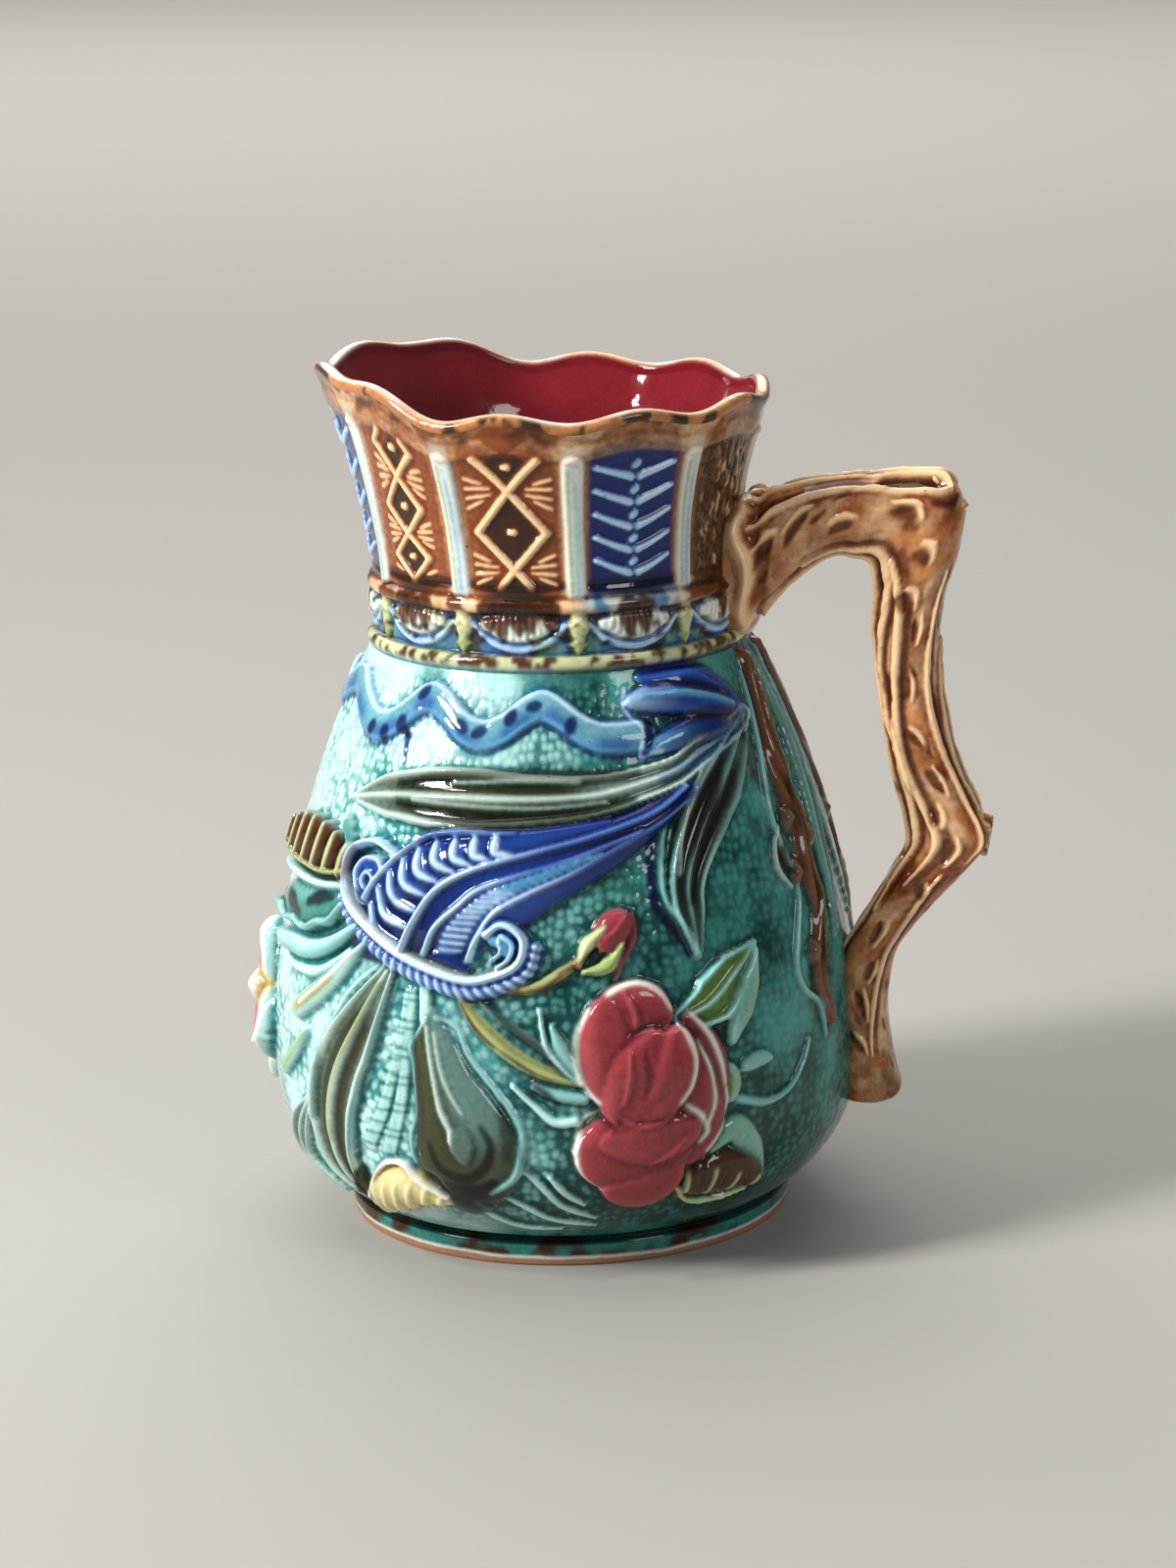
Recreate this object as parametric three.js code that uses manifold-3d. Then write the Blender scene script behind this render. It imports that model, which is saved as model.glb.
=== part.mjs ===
// A glazed earthenware pitcher: a pear-shaped jug with a flared, panelled neck, a scalloped rim
// pulled up into a spout, a branch-shaped handle, and flowers, leaves and a shell in relief.
// It is moulded and fired as one piece, so it is one solid.
// Millimetres, +Z up. The handle is on the +X side and the spout on the -X side.

import * as THREE from 'three';
import { mergeVertices } from 'three/addons/utils/BufferGeometryUtils.js';
import Module from 'manifold-3d';

const wasm = await Module();
wasm.setup();

const { degToRad, radToDeg, smoothstep, lerp } = THREE.MathUtils;

// Driving dimensions of the vessel
const FOOT_RADIUS = 55.5;
const FOOT_HEIGHT = 8.6;
const FOOT_RING_WIDTH = 8.5;
const FOOT_RECESS = 2.5;
const FOOT_GROOVE = 1;
const WALL_ABOVE_FOOT = 1.6;
const BASE_THICKNESS = 5.5;
const BELLY_RADIUS = 73.5;
const BELLY_HEIGHT = 45;
const WAIST_RADIUS = 44.8;
const WAIST_HEIGHT = 149;
const COLLAR_HEIGHT = 162;
const LOWER_RING_RISE = 2.3;
const UPPER_RING_RISE = 2.4;
const RIM_RADIUS = 55.2;
const RIM_HEIGHT = 206;
const WALL = 5;
const RIM_WALL = 4.4;
const LIP_ROUNDING = 0.8;

// Driving dimensions of the neck and rim
const PANELS = 10;
const RIB_WIDTH = 6;
const RIB_RISE = 1.6;
const BEAD_RISE = 2.2;
const SCALLOP_DEPTH = 2.4;
const SPOUT_RISE = 7.5;
const SPOUT_DIP = 1.5;
const SPOUT_DIP_REACH = 30;
const SPOUT_RISE_START = 34;
const SPOUT_RISE_END = 78;
const SPOUT_PULL = 3;
const SPOUT_PULL_REACH = 40;
const NECK_LEAN = 1.5;

// Driving dimensions of the handle and the relief
const HANDLE_THICKNESS = 17;
const HANDLE_ROOT_THICKNESS = 26;
const BARK_RIDGE = 0.7;
const RELIEF_ROOT = 1.6;
const RELIEF_EDGE = 0.7;
const NARROWEST_STRIP = 0.8;

const SIDES_PER_PANEL = 4;
const HOLLOW_SIDES_PER_PANEL = 3;
const HANDLE_SIDES = 10;
const WELD_DISTANCE = 1e-4;
const PANEL_PITCH = 360 / PANELS;
const HOLLOW_FLOOR = FOOT_RECESS + BASE_THICKNESS;

// The radius of the outer wall at a height, without the foot's groove and the collar's mouldings
function wallRadius(height) {
  if (height < BELLY_HEIGHT) {
    const below = (BELLY_HEIGHT - height) / (BELLY_HEIGHT - FOOT_HEIGHT);
    return BELLY_RADIUS - (BELLY_RADIUS - FOOT_RADIUS - WALL_ABOVE_FOOT) * Math.pow(below, 2.9);
  }
  if (height < WAIST_HEIGHT) {
    const above = (height - BELLY_HEIGHT) / (WAIST_HEIGHT - BELLY_HEIGHT);
    return BELLY_RADIUS - (BELLY_RADIUS - WAIST_RADIUS) * Math.pow(above, 1.8);
  }
  if (height < COLLAR_HEIGHT) return WAIST_RADIUS;
  const share = Math.min(1, (height - COLLAR_HEIGHT) / (RIM_HEIGHT - COLLAR_HEIGHT));
  return WAIST_RADIUS + (RIM_RADIUS - WAIST_RADIUS) * (0.12 * share + 0.88 * Math.pow(share, 2.3));
}

const between = (low, high, shares) => shares.map((share) => lerp(low, high, share));

// How far the rim stands above its lowest points: a scallop over each panel, and the raised spout
function rimRise(angle) {
  const scallop = (SCALLOP_DEPTH / 2) * (1 - Math.cos(PANELS * angle));
  const fromSpout = 180 - Math.abs(radToDeg(angle));
  const spout = SPOUT_RISE * (1 - smoothstep(fromSpout, SPOUT_RISE_START, SPOUT_RISE_END));
  return scallop + spout - SPOUT_DIP * (1 - smoothstep(fromSpout, 0, SPOUT_DIP_REACH));
}

// The neck leans a little towards the spout, and its top follows the rim's waves
function shapeNeck(point) {
  const angle = Math.atan2(point.y, point.x);
  const fromSpout = 180 - Math.abs(radToDeg(angle));
  const nearRim = smoothstep(point.z, COLLAR_HEIGHT + 14, RIM_HEIGHT - 2);
  const pull = 1 + (SPOUT_PULL / RIM_RADIUS) * nearRim * (1 - smoothstep(fromSpout, 4, SPOUT_PULL_REACH));
  const lean = NECK_LEAN * smoothstep(point.z, WAIST_HEIGHT, RIM_HEIGHT);
  return point.set(point.x * pull - lean, point.y * pull, point.z + nearRim * rimRise(angle));
}

// A spot on the outer wall, or raised from it. The angle is in degrees round from the handle.
function onWall(angle, height, rise) {
  const step = 2;
  const slope = (wallRadius(height + step) - wallRadius(height - step)) / (2 * step);
  const tilt = Math.atan(slope);
  const radius = wallRadius(height) + rise * Math.cos(tilt);
  const turn = degToRad(angle);
  const spot = new THREE.Vector3(radius * Math.cos(turn), radius * Math.sin(turn), height);
  spot.z -= rise * Math.sin(tilt);
  return shapeNeck(spot);
}

// A closed three.js geometry as a solid
function toSolid(geometry) {
  const bare = geometry.clone();
  bare.deleteAttribute('normal');
  bare.deleteAttribute('uv');
  const merged = mergeVertices(bare, WELD_DISTANCE);
  const triangles = [];
  for (let i = 0; i < merged.index.count; i += 3) {
    const corners = [0, 1, 2].map((k) => merged.index.getX(i + k));
    if (new Set(corners).size === 3) triangles.push(corners);
  }
  const build = (list) => new wasm.Manifold(new wasm.Mesh({
    numProp: 3,
    vertProperties: new Float32Array(merged.attributes.position.array),
    triVerts: new Uint32Array(list.flat()),
  }));
  const solid = build(triangles);
  return solid.volume() > 0 ? solid : build(triangles.map((corners) => corners.reverse()));
}

function toGeometry(solid) {
  const mesh = solid.getMesh();
  const geometry = new THREE.BufferGeometry();
  geometry.setAttribute('position', new THREE.BufferAttribute(new Float32Array(mesh.vertProperties), 3));
  geometry.setIndex(new THREE.BufferAttribute(new Uint32Array(mesh.triVerts), 1));
  return geometry;
}

// Moves each vertex of a geometry to where a function puts it
function reshape(geometry, place) {
  const position = geometry.attributes.position;
  const vertex = new THREE.Vector3();
  for (let i = 0; i < position.count; i++) {
    const moved = place(vertex.fromBufferAttribute(position, i));
    position.setXYZ(i, moved.x, moved.y, moved.z);
  }
  return geometry;
}

// A profile of [radius, height] corners from axis to axis, turned round the axis
function turn(profile, sides) {
  const corners = profile.map(([radius, z]) => new THREE.Vector2(radius, z));
  return new THREE.LatheGeometry(corners, sides).rotateX(Math.PI / 2);
}

// Draws the wall out into a sharp rib between each two panels, and into the beads of the frieze.
// The sides next to a rib move close to it, so that the rib is narrow.
function raiseRibs(point) {
  if (point.z < WAIST_HEIGHT + 0.5) return point;
  const radius = Math.hypot(point.x, point.y);
  const angle = radToDeg(Math.atan2(point.y, point.x));
  const rib = Math.round(angle / PANEL_PITCH) * PANEL_PITCH;
  const fromRib = angle - rib;
  const side = Math.round((Math.abs(fromRib) * SIDES_PER_PANEL) / PANEL_PITCH);
  const halfRib = radToDeg(RIB_WIDTH / 2 / WAIST_RADIUS);
  const turned = degToRad(side === 1 ? rib + Math.sign(fromRib) * halfRib : angle);
  const inFrieze = point.z > WAIST_HEIGHT + 2 && point.z < COLLAR_HEIGHT - 4;
  const inPanels = point.z > COLLAR_HEIGHT + 2 && point.z < RIM_HEIGHT - 4;
  let rise = 0;
  if (side === 0 && (inFrieze || inPanels)) rise = RIB_RISE;
  if (side === 2 && inFrieze) rise = BEAD_RISE;
  return point.set((radius + rise) * Math.cos(turned), (radius + rise) * Math.sin(turned), point.z);
}

// The vessel as if it were full, from the middle of its recessed underside to the rim
function makeFullBody() {
  const ringInside = FOOT_RADIUS - FOOT_RING_WIDTH;
  const belowWidest = between(FOOT_HEIGHT, BELLY_HEIGHT, [0, 0.14, 0.42, 1]);
  const aboveWidest = between(BELLY_HEIGHT, WAIST_HEIGHT, [0.24, 0.46, 0.68, 0.87]);
  const neck = between(COLLAR_HEIGHT, RIM_HEIGHT, [0.5, 0.8]);
  const onProfile = (z) => [wallRadius(z), z];
  const profile = turn([
    [0, FOOT_RECESS],
    [ringInside - 1, FOOT_RECESS],
    [ringInside, 0],
    [FOOT_RADIUS - 0.5, 0],
    [FOOT_RADIUS + 0.3, FOOT_HEIGHT - 3.1],
    [FOOT_RADIUS - FOOT_GROOVE, FOOT_HEIGHT - 1.6],
    ...[...belowWidest, ...aboveWidest].map(onProfile),
    [WAIST_RADIUS + LOWER_RING_RISE, WAIST_HEIGHT - 2.6],
    [WAIST_RADIUS + LOWER_RING_RISE, WAIST_HEIGHT - 0.8],
    [WAIST_RADIUS, WAIST_HEIGHT + 1],
    [WAIST_RADIUS, (WAIST_HEIGHT + COLLAR_HEIGHT) / 2 - 1],
    [WAIST_RADIUS, COLLAR_HEIGHT - 3.4],
    [WAIST_RADIUS + UPPER_RING_RISE, COLLAR_HEIGHT - 2.2],
    [WAIST_RADIUS + UPPER_RING_RISE, COLLAR_HEIGHT + 1.6],
    [WAIST_RADIUS + 0.3, COLLAR_HEIGHT + 3],
    ...neck.map(onProfile),
    [RIM_RADIUS - 0.6, RIM_HEIGHT - 1.8],
    [RIM_RADIUS - LIP_ROUNDING, RIM_HEIGHT + 0.6],
    [RIM_RADIUS - RIM_WALL + LIP_ROUNDING, RIM_HEIGHT + 0.6],
    [RIM_RADIUS - RIM_WALL - 1, RIM_HEIGHT - 1.6],
    [0, RIM_HEIGHT - 1.6],
  ], PANELS * SIDES_PER_PANEL);
  return toSolid(reshape(profile, (point) => shapeNeck(raiseRibs(point))));
}

// The empty space inside, which runs out through the mouth
function makeHollow() {
  const aboveFloor = between(HOLLOW_FLOOR, BELLY_HEIGHT, [0.1, 0.35, 1]);
  const aboveWidest = between(BELLY_HEIGHT, WAIST_HEIGHT, [0.4, 0.75, 1]);
  const neck = between(COLLAR_HEIGHT, RIM_HEIGHT, [0, 0.55]);
  const heights = [...aboveFloor, ...aboveWidest, ...neck];
  const insideRim = RIM_RADIUS - RIM_WALL;
  const profile = turn([
    [0, HOLLOW_FLOOR],
    [wallRadius(heights[0]) - WALL - 6, HOLLOW_FLOOR],
    ...heights.map((z) => [wallRadius(z) - WALL, z]),
    [insideRim, RIM_HEIGHT - 0.6],
    [insideRim, RIM_HEIGHT + SPOUT_RISE],
    [0, RIM_HEIGHT + SPOUT_RISE],
  ], PANELS * HOLLOW_SIDES_PER_PANEL);
  return toSolid(reshape(profile, shapeNeck));
}

// A raised strip that follows a path of [angle, height] spots over the wall. Its outline and its
// section are functions of u, from 0 to 1 along it, and v, from -1 to 1 across it.
function strip({ path, outline, section, rows, cols }) {
  const curve = new THREE.CatmullRomCurve3(path.map(([angle, z]) => new THREE.Vector3(angle, z, 0)));
  return toSolid(reshape(new THREE.BoxGeometry(1, 2, 2, rows, cols, 1), (vertex) => {
    const u = vertex.x + 0.5;
    const v = vertex.y;
    const middle = curve.getPointAt(u);
    const heading = curve.getTangentAt(u);
    const mmPerDegree = degToRad(wallRadius(middle.y));
    const along = new THREE.Vector2(heading.x * mmPerDegree, heading.y).normalize();
    const aside = (v * Math.max(outline(u), NARROWEST_STRIP)) / 2;
    const rise = vertex.z > 0 ? section(u, v) : -RELIEF_ROOT;
    return onWall(middle.x - (along.y * aside) / mmPerDegree, middle.y + along.x * aside, rise);
  }));
}

const round = (inside, rise) => Math.sqrt(Math.max(0, inside)) * (rise + RELIEF_EDGE) - RELIEF_EDGE;

// A leaf is pointed at both ends. Its two halves swell on either side of a sunken midrib, and a
// small leaf is a plain ridge.
function leaf({ path, width, rise, rows = 5, cols = 4 }) {
  const outline = (u) => width * Math.pow(Math.sin(Math.PI * (0.04 + 0.92 * u)), 0.8);
  const swell = (v) => rise * (cols > 2 ? 0.55 + 0.9 * Math.abs(v) : 1);
  const section = (u, v) => (Math.abs(v) > 0.99 ? -RELIEF_EDGE : swell(v));
  return strip({ path, outline, section, rows, cols });
}

// A rounded bar whose width changes along it by equal steps
function stem({ path, widths, rise, rows = 5, cols = 2 }) {
  const outline = (u) => {
    const place = u * (widths.length - 1);
    const before = Math.min(Math.floor(place), widths.length - 2);
    return widths.length === 1 ? widths[0] : lerp(widths[before], widths[before + 1], place - before);
  };
  return strip({ path, outline, section: (u, v) => round(1 - v * v, rise), rows, cols });
}

// A petal is round in outline and domed both ways
function petal({ path, width, rise, cols = 2 }) {
  const outline = (u) => width * Math.sqrt(Math.max(0, 1 - Math.pow(2 * u - 1, 2)) + 0.02);
  const section = (u, v) => round((1 - v * v) * (1 - Math.pow(2 * u - 1, 4)), rise);
  return strip({ path, outline, section, rows: 4, cols });
}

// The blue ribbon under the collar waves once below each panel
function makeRibbon() {
  const swing = 4.2;
  const crest = -116;
  const wave = (angle) => WAIST_HEIGHT - 14.4 + swing * Math.cos(degToRad(PANELS * (angle - crest)));
  const wavesShown = 3.35;
  const start = -58;
  const stepsPerWave = 6;
  const path = [];
  for (let i = 0; i <= wavesShown * stepsPerWave; i++) {
    const angle = start - (PANEL_PITCH * i) / stepsPerWave;
    path.push([angle, wave(angle)]);
  }
  return [stem({ path, widths: [6.8], rise: 1.7, rows: 14 })];
}

// The middle petal of the blue lily beside the branch, and the two long leaves that spring from it
function makeLily() {
  return [
    petal({ path: [[-22, 131], [-40, 136], [-60, 136.5]], width: 10, rise: 3.8 }),
    leaf({
      path: [[-27, 130], [-37, 126], [-53, 121.5], [-94, 118.5], [-134, 114.8]],
      width: 13.5, rise: 2.4, rows: 6,
    }),
    leaf({ path: [[-24, 129], [-45, 109], [-51, 98], [-54, 90]], width: 13, rise: 2.6 }),
  ];
}

function makeOuterPetals() {
  return [
    petal({ path: [[-24, 134], [-40, 141.5], [-57, 143]], width: 11, rise: 3.4 }),
    petal({ path: [[-23, 127], [-38, 129], [-55, 127.5]], width: 8, rise: 3.2 }),
  ];
}

// The great blue shell: a horn that widens down to a rolled lip with a curl at each end
function makeShell() {
  return [
    stem({
      path: [[-121, 84], [-108, 94], [-92, 101], [-74, 107], [-44, 119]],
      widths: [24, 22, 15, 10, 7, 5], rise: 4.6, cols: 4,
    }),
    stem({
      path: [
        [-119, 98], [-123, 103], [-127, 99], [-127, 88], [-122, 79], [-114, 74.5], [-104, 71.5], [-95, 73],
        [-87, 78], [-85, 85], [-89, 89], [-92, 85],
      ],
      widths: [5.4], rise: 4.6, rows: 12,
    }),
  ];
}

// The shell's second fold, and the ridge between the two
function makeShellFold() {
  return [
    stem({
      path: [[-103, 78], [-91, 88], [-78, 98], [-48, 113]], widths: [20, 17, 10, 7, 4], rise: 4, rows: 4,
    }),
    stem({ path: [[-111, 79], [-107, 87], [-98, 96.5], [-66, 108.5]], widths: [3.2], rise: 5.8, rows: 4 }),
  ];
}

// The leaf and the pod that hang from the shell
function makePod() {
  return [
    leaf({ path: [[-115, 73], [-121, 63], [-133, 35], [-136, 24], [-133, 15]], width: 16, rise: 3.2 }),
    stem({
      path: [[-106, 69], [-104, 58], [-101, 46], [-96, 23]], widths: [5, 10, 17, 25, 23, 10], rise: 5.2,
      rows: 4, cols: 4,
    }),
  ];
}

function makePodLeaves() {
  return [
    leaf({ path: [[-138, 44], [-146, 33], [-148, 22], [-143, 14]], width: 10, rise: 2.4, rows: 3, cols: 2 }),
    petal({ path: [[-126, 11], [-118, 19], [-106, 21]], width: 12, rise: 4.2 }),
    leaf({ path: [[-93, 25], [-83, 26], [-71, 17]], width: 6.5, rise: 1.6, rows: 3, cols: 2 }),
  ];
}

function makeRose() {
  return [
    petal({ path: [[-75, 62], [-66, 66], [-59, 66]], width: 19, rise: 5 }),
    petal({ path: [[-77, 33], [-66, 30], [-54, 31]], width: 22, rise: 6.2, cols: 4 }),
    petal({ path: [[-73, 47], [-62, 50], [-52, 50]], width: 25, rise: 7.6, cols: 4 }),
    leaf({ path: [[-53, 64], [-46, 70], [-37, 81]], width: 15, rise: 2.4, rows: 3 }),
  ];
}

// The rose's outer petals, the brown cone below it and a leaf beside it
function makeOuterRose() {
  return [
    petal({ path: [[-76, 56], [-70, 50], [-66, 42]], width: 17, rise: 4.8 }),
    petal({ path: [[-51, 64], [-49, 50], [-51, 34]], width: 13, rise: 4.6 }),
    petal({ path: [[-59, 22], [-49, 24], [-38, 28]], width: 12, rise: 4.4 }),
    leaf({ path: [[-43, 44], [-35, 45], [-27, 55]], width: 5.5, rise: 1.8, rows: 3, cols: 2 }),
  ];
}

function makeStems() {
  return [
    stem({ path: [[-99, 71], [-94, 63], [-87, 56], [-76, 48]], widths: [5], rise: 2.4, rows: 4 }),
    stem({ path: [[-94, 72], [-84, 74.5], [-72, 81]], widths: [3.6], rise: 2, rows: 4 }),
    petal({ path: [[-74, 79.5], [-68, 86], [-63, 93]], width: 10, rise: 3.6 }),
  ];
}

// The brown lily at the side of the spout, above its flower
function makeSideLily() {
  return [
    petal({ path: [[-158, 98], [-146, 97], [-133, 96]], width: 17, rise: 4.4 }),
    petal({ path: [[-157, 85], [-145, 83], [-131, 83]], width: 17, rise: 4 }),
    leaf({ path: [[-120, 88], [-130, 77], [-143, 63]], width: 6, rise: 2.2, rows: 3, cols: 2 }),
  ];
}

// The branch that runs down the wall beside the handle, with its knot and a leaf
function makeBranch() {
  return [
    stem({
      path: [[-11, 146], [-14, 121], [-16, 106], [-16, 92], [-15, 80], [-17, 57]],
      widths: [6, 7, 10, 9, 8, 6], rise: 2.8, rows: 5,
    }),
  ];
}

function makeBranchLeaf() {
  return [
    petal({ path: [[-18, 106], [-24, 97], [-22, 88]], width: 9, rise: 2.4 }),
    leaf({ path: [[-5, 142], [-7, 118], [-7, 96], [-8, 76]], width: 8, rise: 2, rows: 3, cols: 2 }),
  ];
}

// The flower in full relief under the spout
function makeSpoutFlower() {
  const petals = 5;
  const height = 53;
  const mmPerDegree = degToRad(BELLY_RADIUS);
  const bloom = [petal({ path: [[170, 52], [180, 54], [190, 52]], width: 26, rise: 9.5 })];
  for (let i = 0; i < petals; i++) {
    const bearing = (2 * Math.PI * (i + 0.5)) / petals;
    const away = (reach) => [
      180 + (reach * Math.sin(bearing)) / mmPerDegree,
      height + reach * Math.cos(bearing),
    ];
    bloom.push(petal({ path: [6, 13, 22].map(away), width: 20, rise: 6.2 }));
  }
  return bloom;
}

// The ornament of a panel: two crossing zigzags, or a column of chevrons
function zigzag({ centre, swing, side }) {
  const shares = [0.12, 0.35, 0.58, 0.81];
  const heights = between(COLLAR_HEIGHT, RIM_HEIGHT, shares);
  const path = heights.map((height, i) => [centre + side * swing * (i % 2 ? 1 : -1), height]);
  return stem({ path, widths: [2.6], rise: 0.9, rows: shares.length - 1 });
}

function chevron({ centre, height }) {
  const reach = 8.5;
  const path = [[centre - reach, height + 4], [centre, height], [centre + reach, height + 4]];
  return stem({ path, widths: [2.6], rise: 0.9, rows: 2 });
}

function makePanel(centre, kind) {
  if (kind === 'plain') return [];
  if (kind === 'chevrons') {
    const heights = between(COLLAR_HEIGHT, RIM_HEIGHT, [0.15, 0.38, 0.61]);
    return heights.map((height) => chevron({ centre, height }));
  }
  const swing = kind === 'wide lattice' ? 7.5 : 5.5;
  return [1, -1].map((side) => zigzag({ centre, swing, side }));
}

// The panels' ornament is the same on both sides of the vessel, counted from the handle
function makePanels() {
  const kinds = ['plain', 'chevrons', 'wide lattice', 'narrow lattice', 'chevrons'];
  const pieces = [];
  for (let i = 0; i < PANELS; i++) {
    const centre = PANEL_PITCH * (i + 0.5);
    const fromHandle = Math.floor(Math.min(centre, 360 - centre) / PANEL_PITCH);
    pieces.push(...makePanel(centre, kinds[fromHandle % kinds.length]));
  }
  return pieces;
}

// Matching spots on the handle's outer and inner edge, out from and above the waist's edge at the
// collar for its upper part, and the widest part of the belly for its lower part
const upperHandle = [
  [[-3.8, 19.5], [-3.8, -19]],
  [[4.2, 21], [3.7, -15.5]],
  [[13.2, 22.5], [11.7, -5]],
  [[27, 24.6], [23, 3.6]],
  [[44.2, 25.8], [30.7, 3.6]],
  [[53.2, 24.8], [32.8, 1.4]],
  [[57, 17], [33.4, -4]],
  [[55.2, 7], [33.6, -9]],
  [[51.7, -5], [33.9, -15]],
  [[50.2, -17], [34.2, -21.5]],
  [[50.8, -28.5], [35.2, -30]],
];
const lowerHandle = [
  [[24.7, 76], [8.5, 73.5]],
  [[29, 64], [11.5, 61]],
  [[34.3, 53], [13, 53.5]],
  [[31.5, 47], [12, 49]],
  [[22, 36.8], [5.2, 38]],
  [[12.5, 25], [-2.5, 24.5]],
  [[9.3, 15], [-5.1, 15]],
  [[8.7, 4], [-5.3, 4]],
  [[10.3, -6], [-4.9, -6]],
  [[12, -12.5], [-4.5, -13]],
  [[9.5, -17], [-3, -17]],
];
const fromWaist = ([x, z]) => [WAIST_RADIUS + x, COLLAR_HEIGHT + z];
const fromBelly = ([x, z]) => [BELLY_RADIUS + x, BELLY_HEIGHT + z];
const handleRings = [
  ...upperHandle.map((edges) => edges.map(fromWaist)),
  ...lowerHandle.map((edges) => edges.map(fromBelly)),
];

// The handle is a bent branch. Its bark stands in ridges along it.
function makeHandle() {
  const bays = handleRings.length - 1;
  const rootRings = 4;
  const branch = new THREE.CylinderGeometry(1, 1, bays, HANDLE_SIDES, bays);
  return toSolid(reshape(branch, (vertex) => {
    const ring = Math.round(bays / 2 - vertex.y);
    const [outer, inner] = handleRings[ring];
    const side = Math.round((Math.atan2(vertex.z, vertex.x) * HANDLE_SIDES) / (2 * Math.PI));
    const thickness = lerp(HANDLE_ROOT_THICKNESS, HANDLE_THICKNESS, smoothstep(ring, 0, rootRings));
    const ridge = side % 2 ? BARK_RIDGE : 0;
    const share = 0.5 + 0.5 * vertex.x;
    const aside = vertex.z * (thickness / 2 + ridge);
    return new THREE.Vector3(lerp(inner[0], outer[0], share), aside, lerp(inner[1], outer[1], share));
  }));
}

// A sawn-off twig that stands out of the handle, between two spots in the handle's plane
function makeTwig({ from, to, rootRadius, endRadius }) {
  const start = new THREE.Vector3(from[0], 0, from[1]);
  const axis = new THREE.Vector3(to[0], 0, to[1]).sub(start);
  const sides = 8;
  const twig = new THREE.CylinderGeometry(endRadius, rootRadius, axis.length(), sides, 1);
  const upright = new THREE.Vector3(0, 1, 0);
  twig.translate(0, axis.length() / 2, 0);
  twig.applyQuaternion(new THREE.Quaternion().setFromUnitVectors(upright, axis.normalize()));
  twig.translate(start.x, start.y, start.z);
  return toSolid(twig);
}

// The same relief on the other side of the vessel, which is plainer
const mirror = (solid) => toSolid(toGeometry(solid).scale(1, -1, 1));

const onBothSides = [
  ...makeRibbon(), ...makeLily(), ...makeShell(), ...makePod(), ...makeRose(), ...makeBranch(),
];
const onFront = [
  ...makeOuterPetals(), ...makeShellFold(), ...makePodLeaves(), ...makeOuterRose(), ...makeStems(),
  ...makeSideLily(), ...makeBranchLeaf(),
];
const handle = [
  makeHandle(),
  makeTwig({ from: fromWaist([45, 14]), to: fromWaist([53, 22]), rootRadius: 8, endRadius: 6.5 }),
  makeTwig({ from: fromBelly([23, 54]), to: fromBelly([34.3, 52.2]), rootRadius: 7, endRadius: 3.8 }),
];

// Whatever reaches into the hollow, such as the handle's root, is cut back to the inside wall
const solid = makeFullBody()
  .add(wasm.Manifold.union([...onBothSides, ...onBothSides.map(mirror), ...onFront]))
  .add(wasm.Manifold.union([...makeSpoutFlower(), ...makePanels(), ...handle]))
  .subtract(makeHollow());

const glaze = new THREE.MeshStandardMaterial({ color: 0x3f9c97, roughness: 0.15, metalness: 0 });
const pitcher = new THREE.Mesh(toGeometry(solid), glaze);
pitcher.name = 'pitcher';

// The origin is under the middle of the whole object, on the surface that it stands on
const extent = new THREE.Box3().setFromObject(pitcher);
pitcher.position.set(-(extent.min.x + extent.max.x) / 2, -(extent.min.y + extent.max.y) / 2, -extent.min.z);

const group = new THREE.Group();
group.add(pitcher);
export default group;
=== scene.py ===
# %% [markdown]
# # A majolica pitcher
#
# This lesson models the surface of a moulded earthenware pitcher: flowers, leaves and a shell in relief,
# coloured glazes that run thin over the high places and gather dark in the low ones, and a handle that
# looks like a bent branch.
#
# The plain solid of the pitcher is loaded first. It sets every size and place, and the fine surface is
# built over it.

# %% Load the plain solid
import math

import bpy
import numpy as np
from mathutils import Matrix, Vector


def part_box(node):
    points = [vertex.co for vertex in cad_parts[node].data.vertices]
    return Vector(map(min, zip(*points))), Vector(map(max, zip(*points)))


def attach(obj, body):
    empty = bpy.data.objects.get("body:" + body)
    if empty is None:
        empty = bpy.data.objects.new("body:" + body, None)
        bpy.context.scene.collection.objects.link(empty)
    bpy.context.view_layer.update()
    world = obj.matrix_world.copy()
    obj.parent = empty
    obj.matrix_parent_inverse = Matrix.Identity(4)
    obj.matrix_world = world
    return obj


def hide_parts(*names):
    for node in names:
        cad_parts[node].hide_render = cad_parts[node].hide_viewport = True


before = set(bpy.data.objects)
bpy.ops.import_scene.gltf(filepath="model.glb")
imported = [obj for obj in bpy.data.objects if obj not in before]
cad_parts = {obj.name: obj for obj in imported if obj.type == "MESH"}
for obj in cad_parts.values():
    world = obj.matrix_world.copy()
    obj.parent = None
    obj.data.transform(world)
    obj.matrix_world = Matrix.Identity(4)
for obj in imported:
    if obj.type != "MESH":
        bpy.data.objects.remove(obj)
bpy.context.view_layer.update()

low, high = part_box("pitcher")
print("the plain solid reaches from", [round(v, 4) for v in low], "to", [round(v, 4) for v in high])

# %% [markdown]
# ## The camera
#
# The pitcher is seen from a little above, from about a metre away, with the handle on the right. The camera
# is set first, because the pieces are judged through it. Its three directions are written out as numbers,
# and a long lens keeps the upright lines nearly parallel.

# %% Camera
MM = 0.001
HANDLE_REACH = 108.39
axis_x = high[0] / MM - HANDLE_REACH

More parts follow.
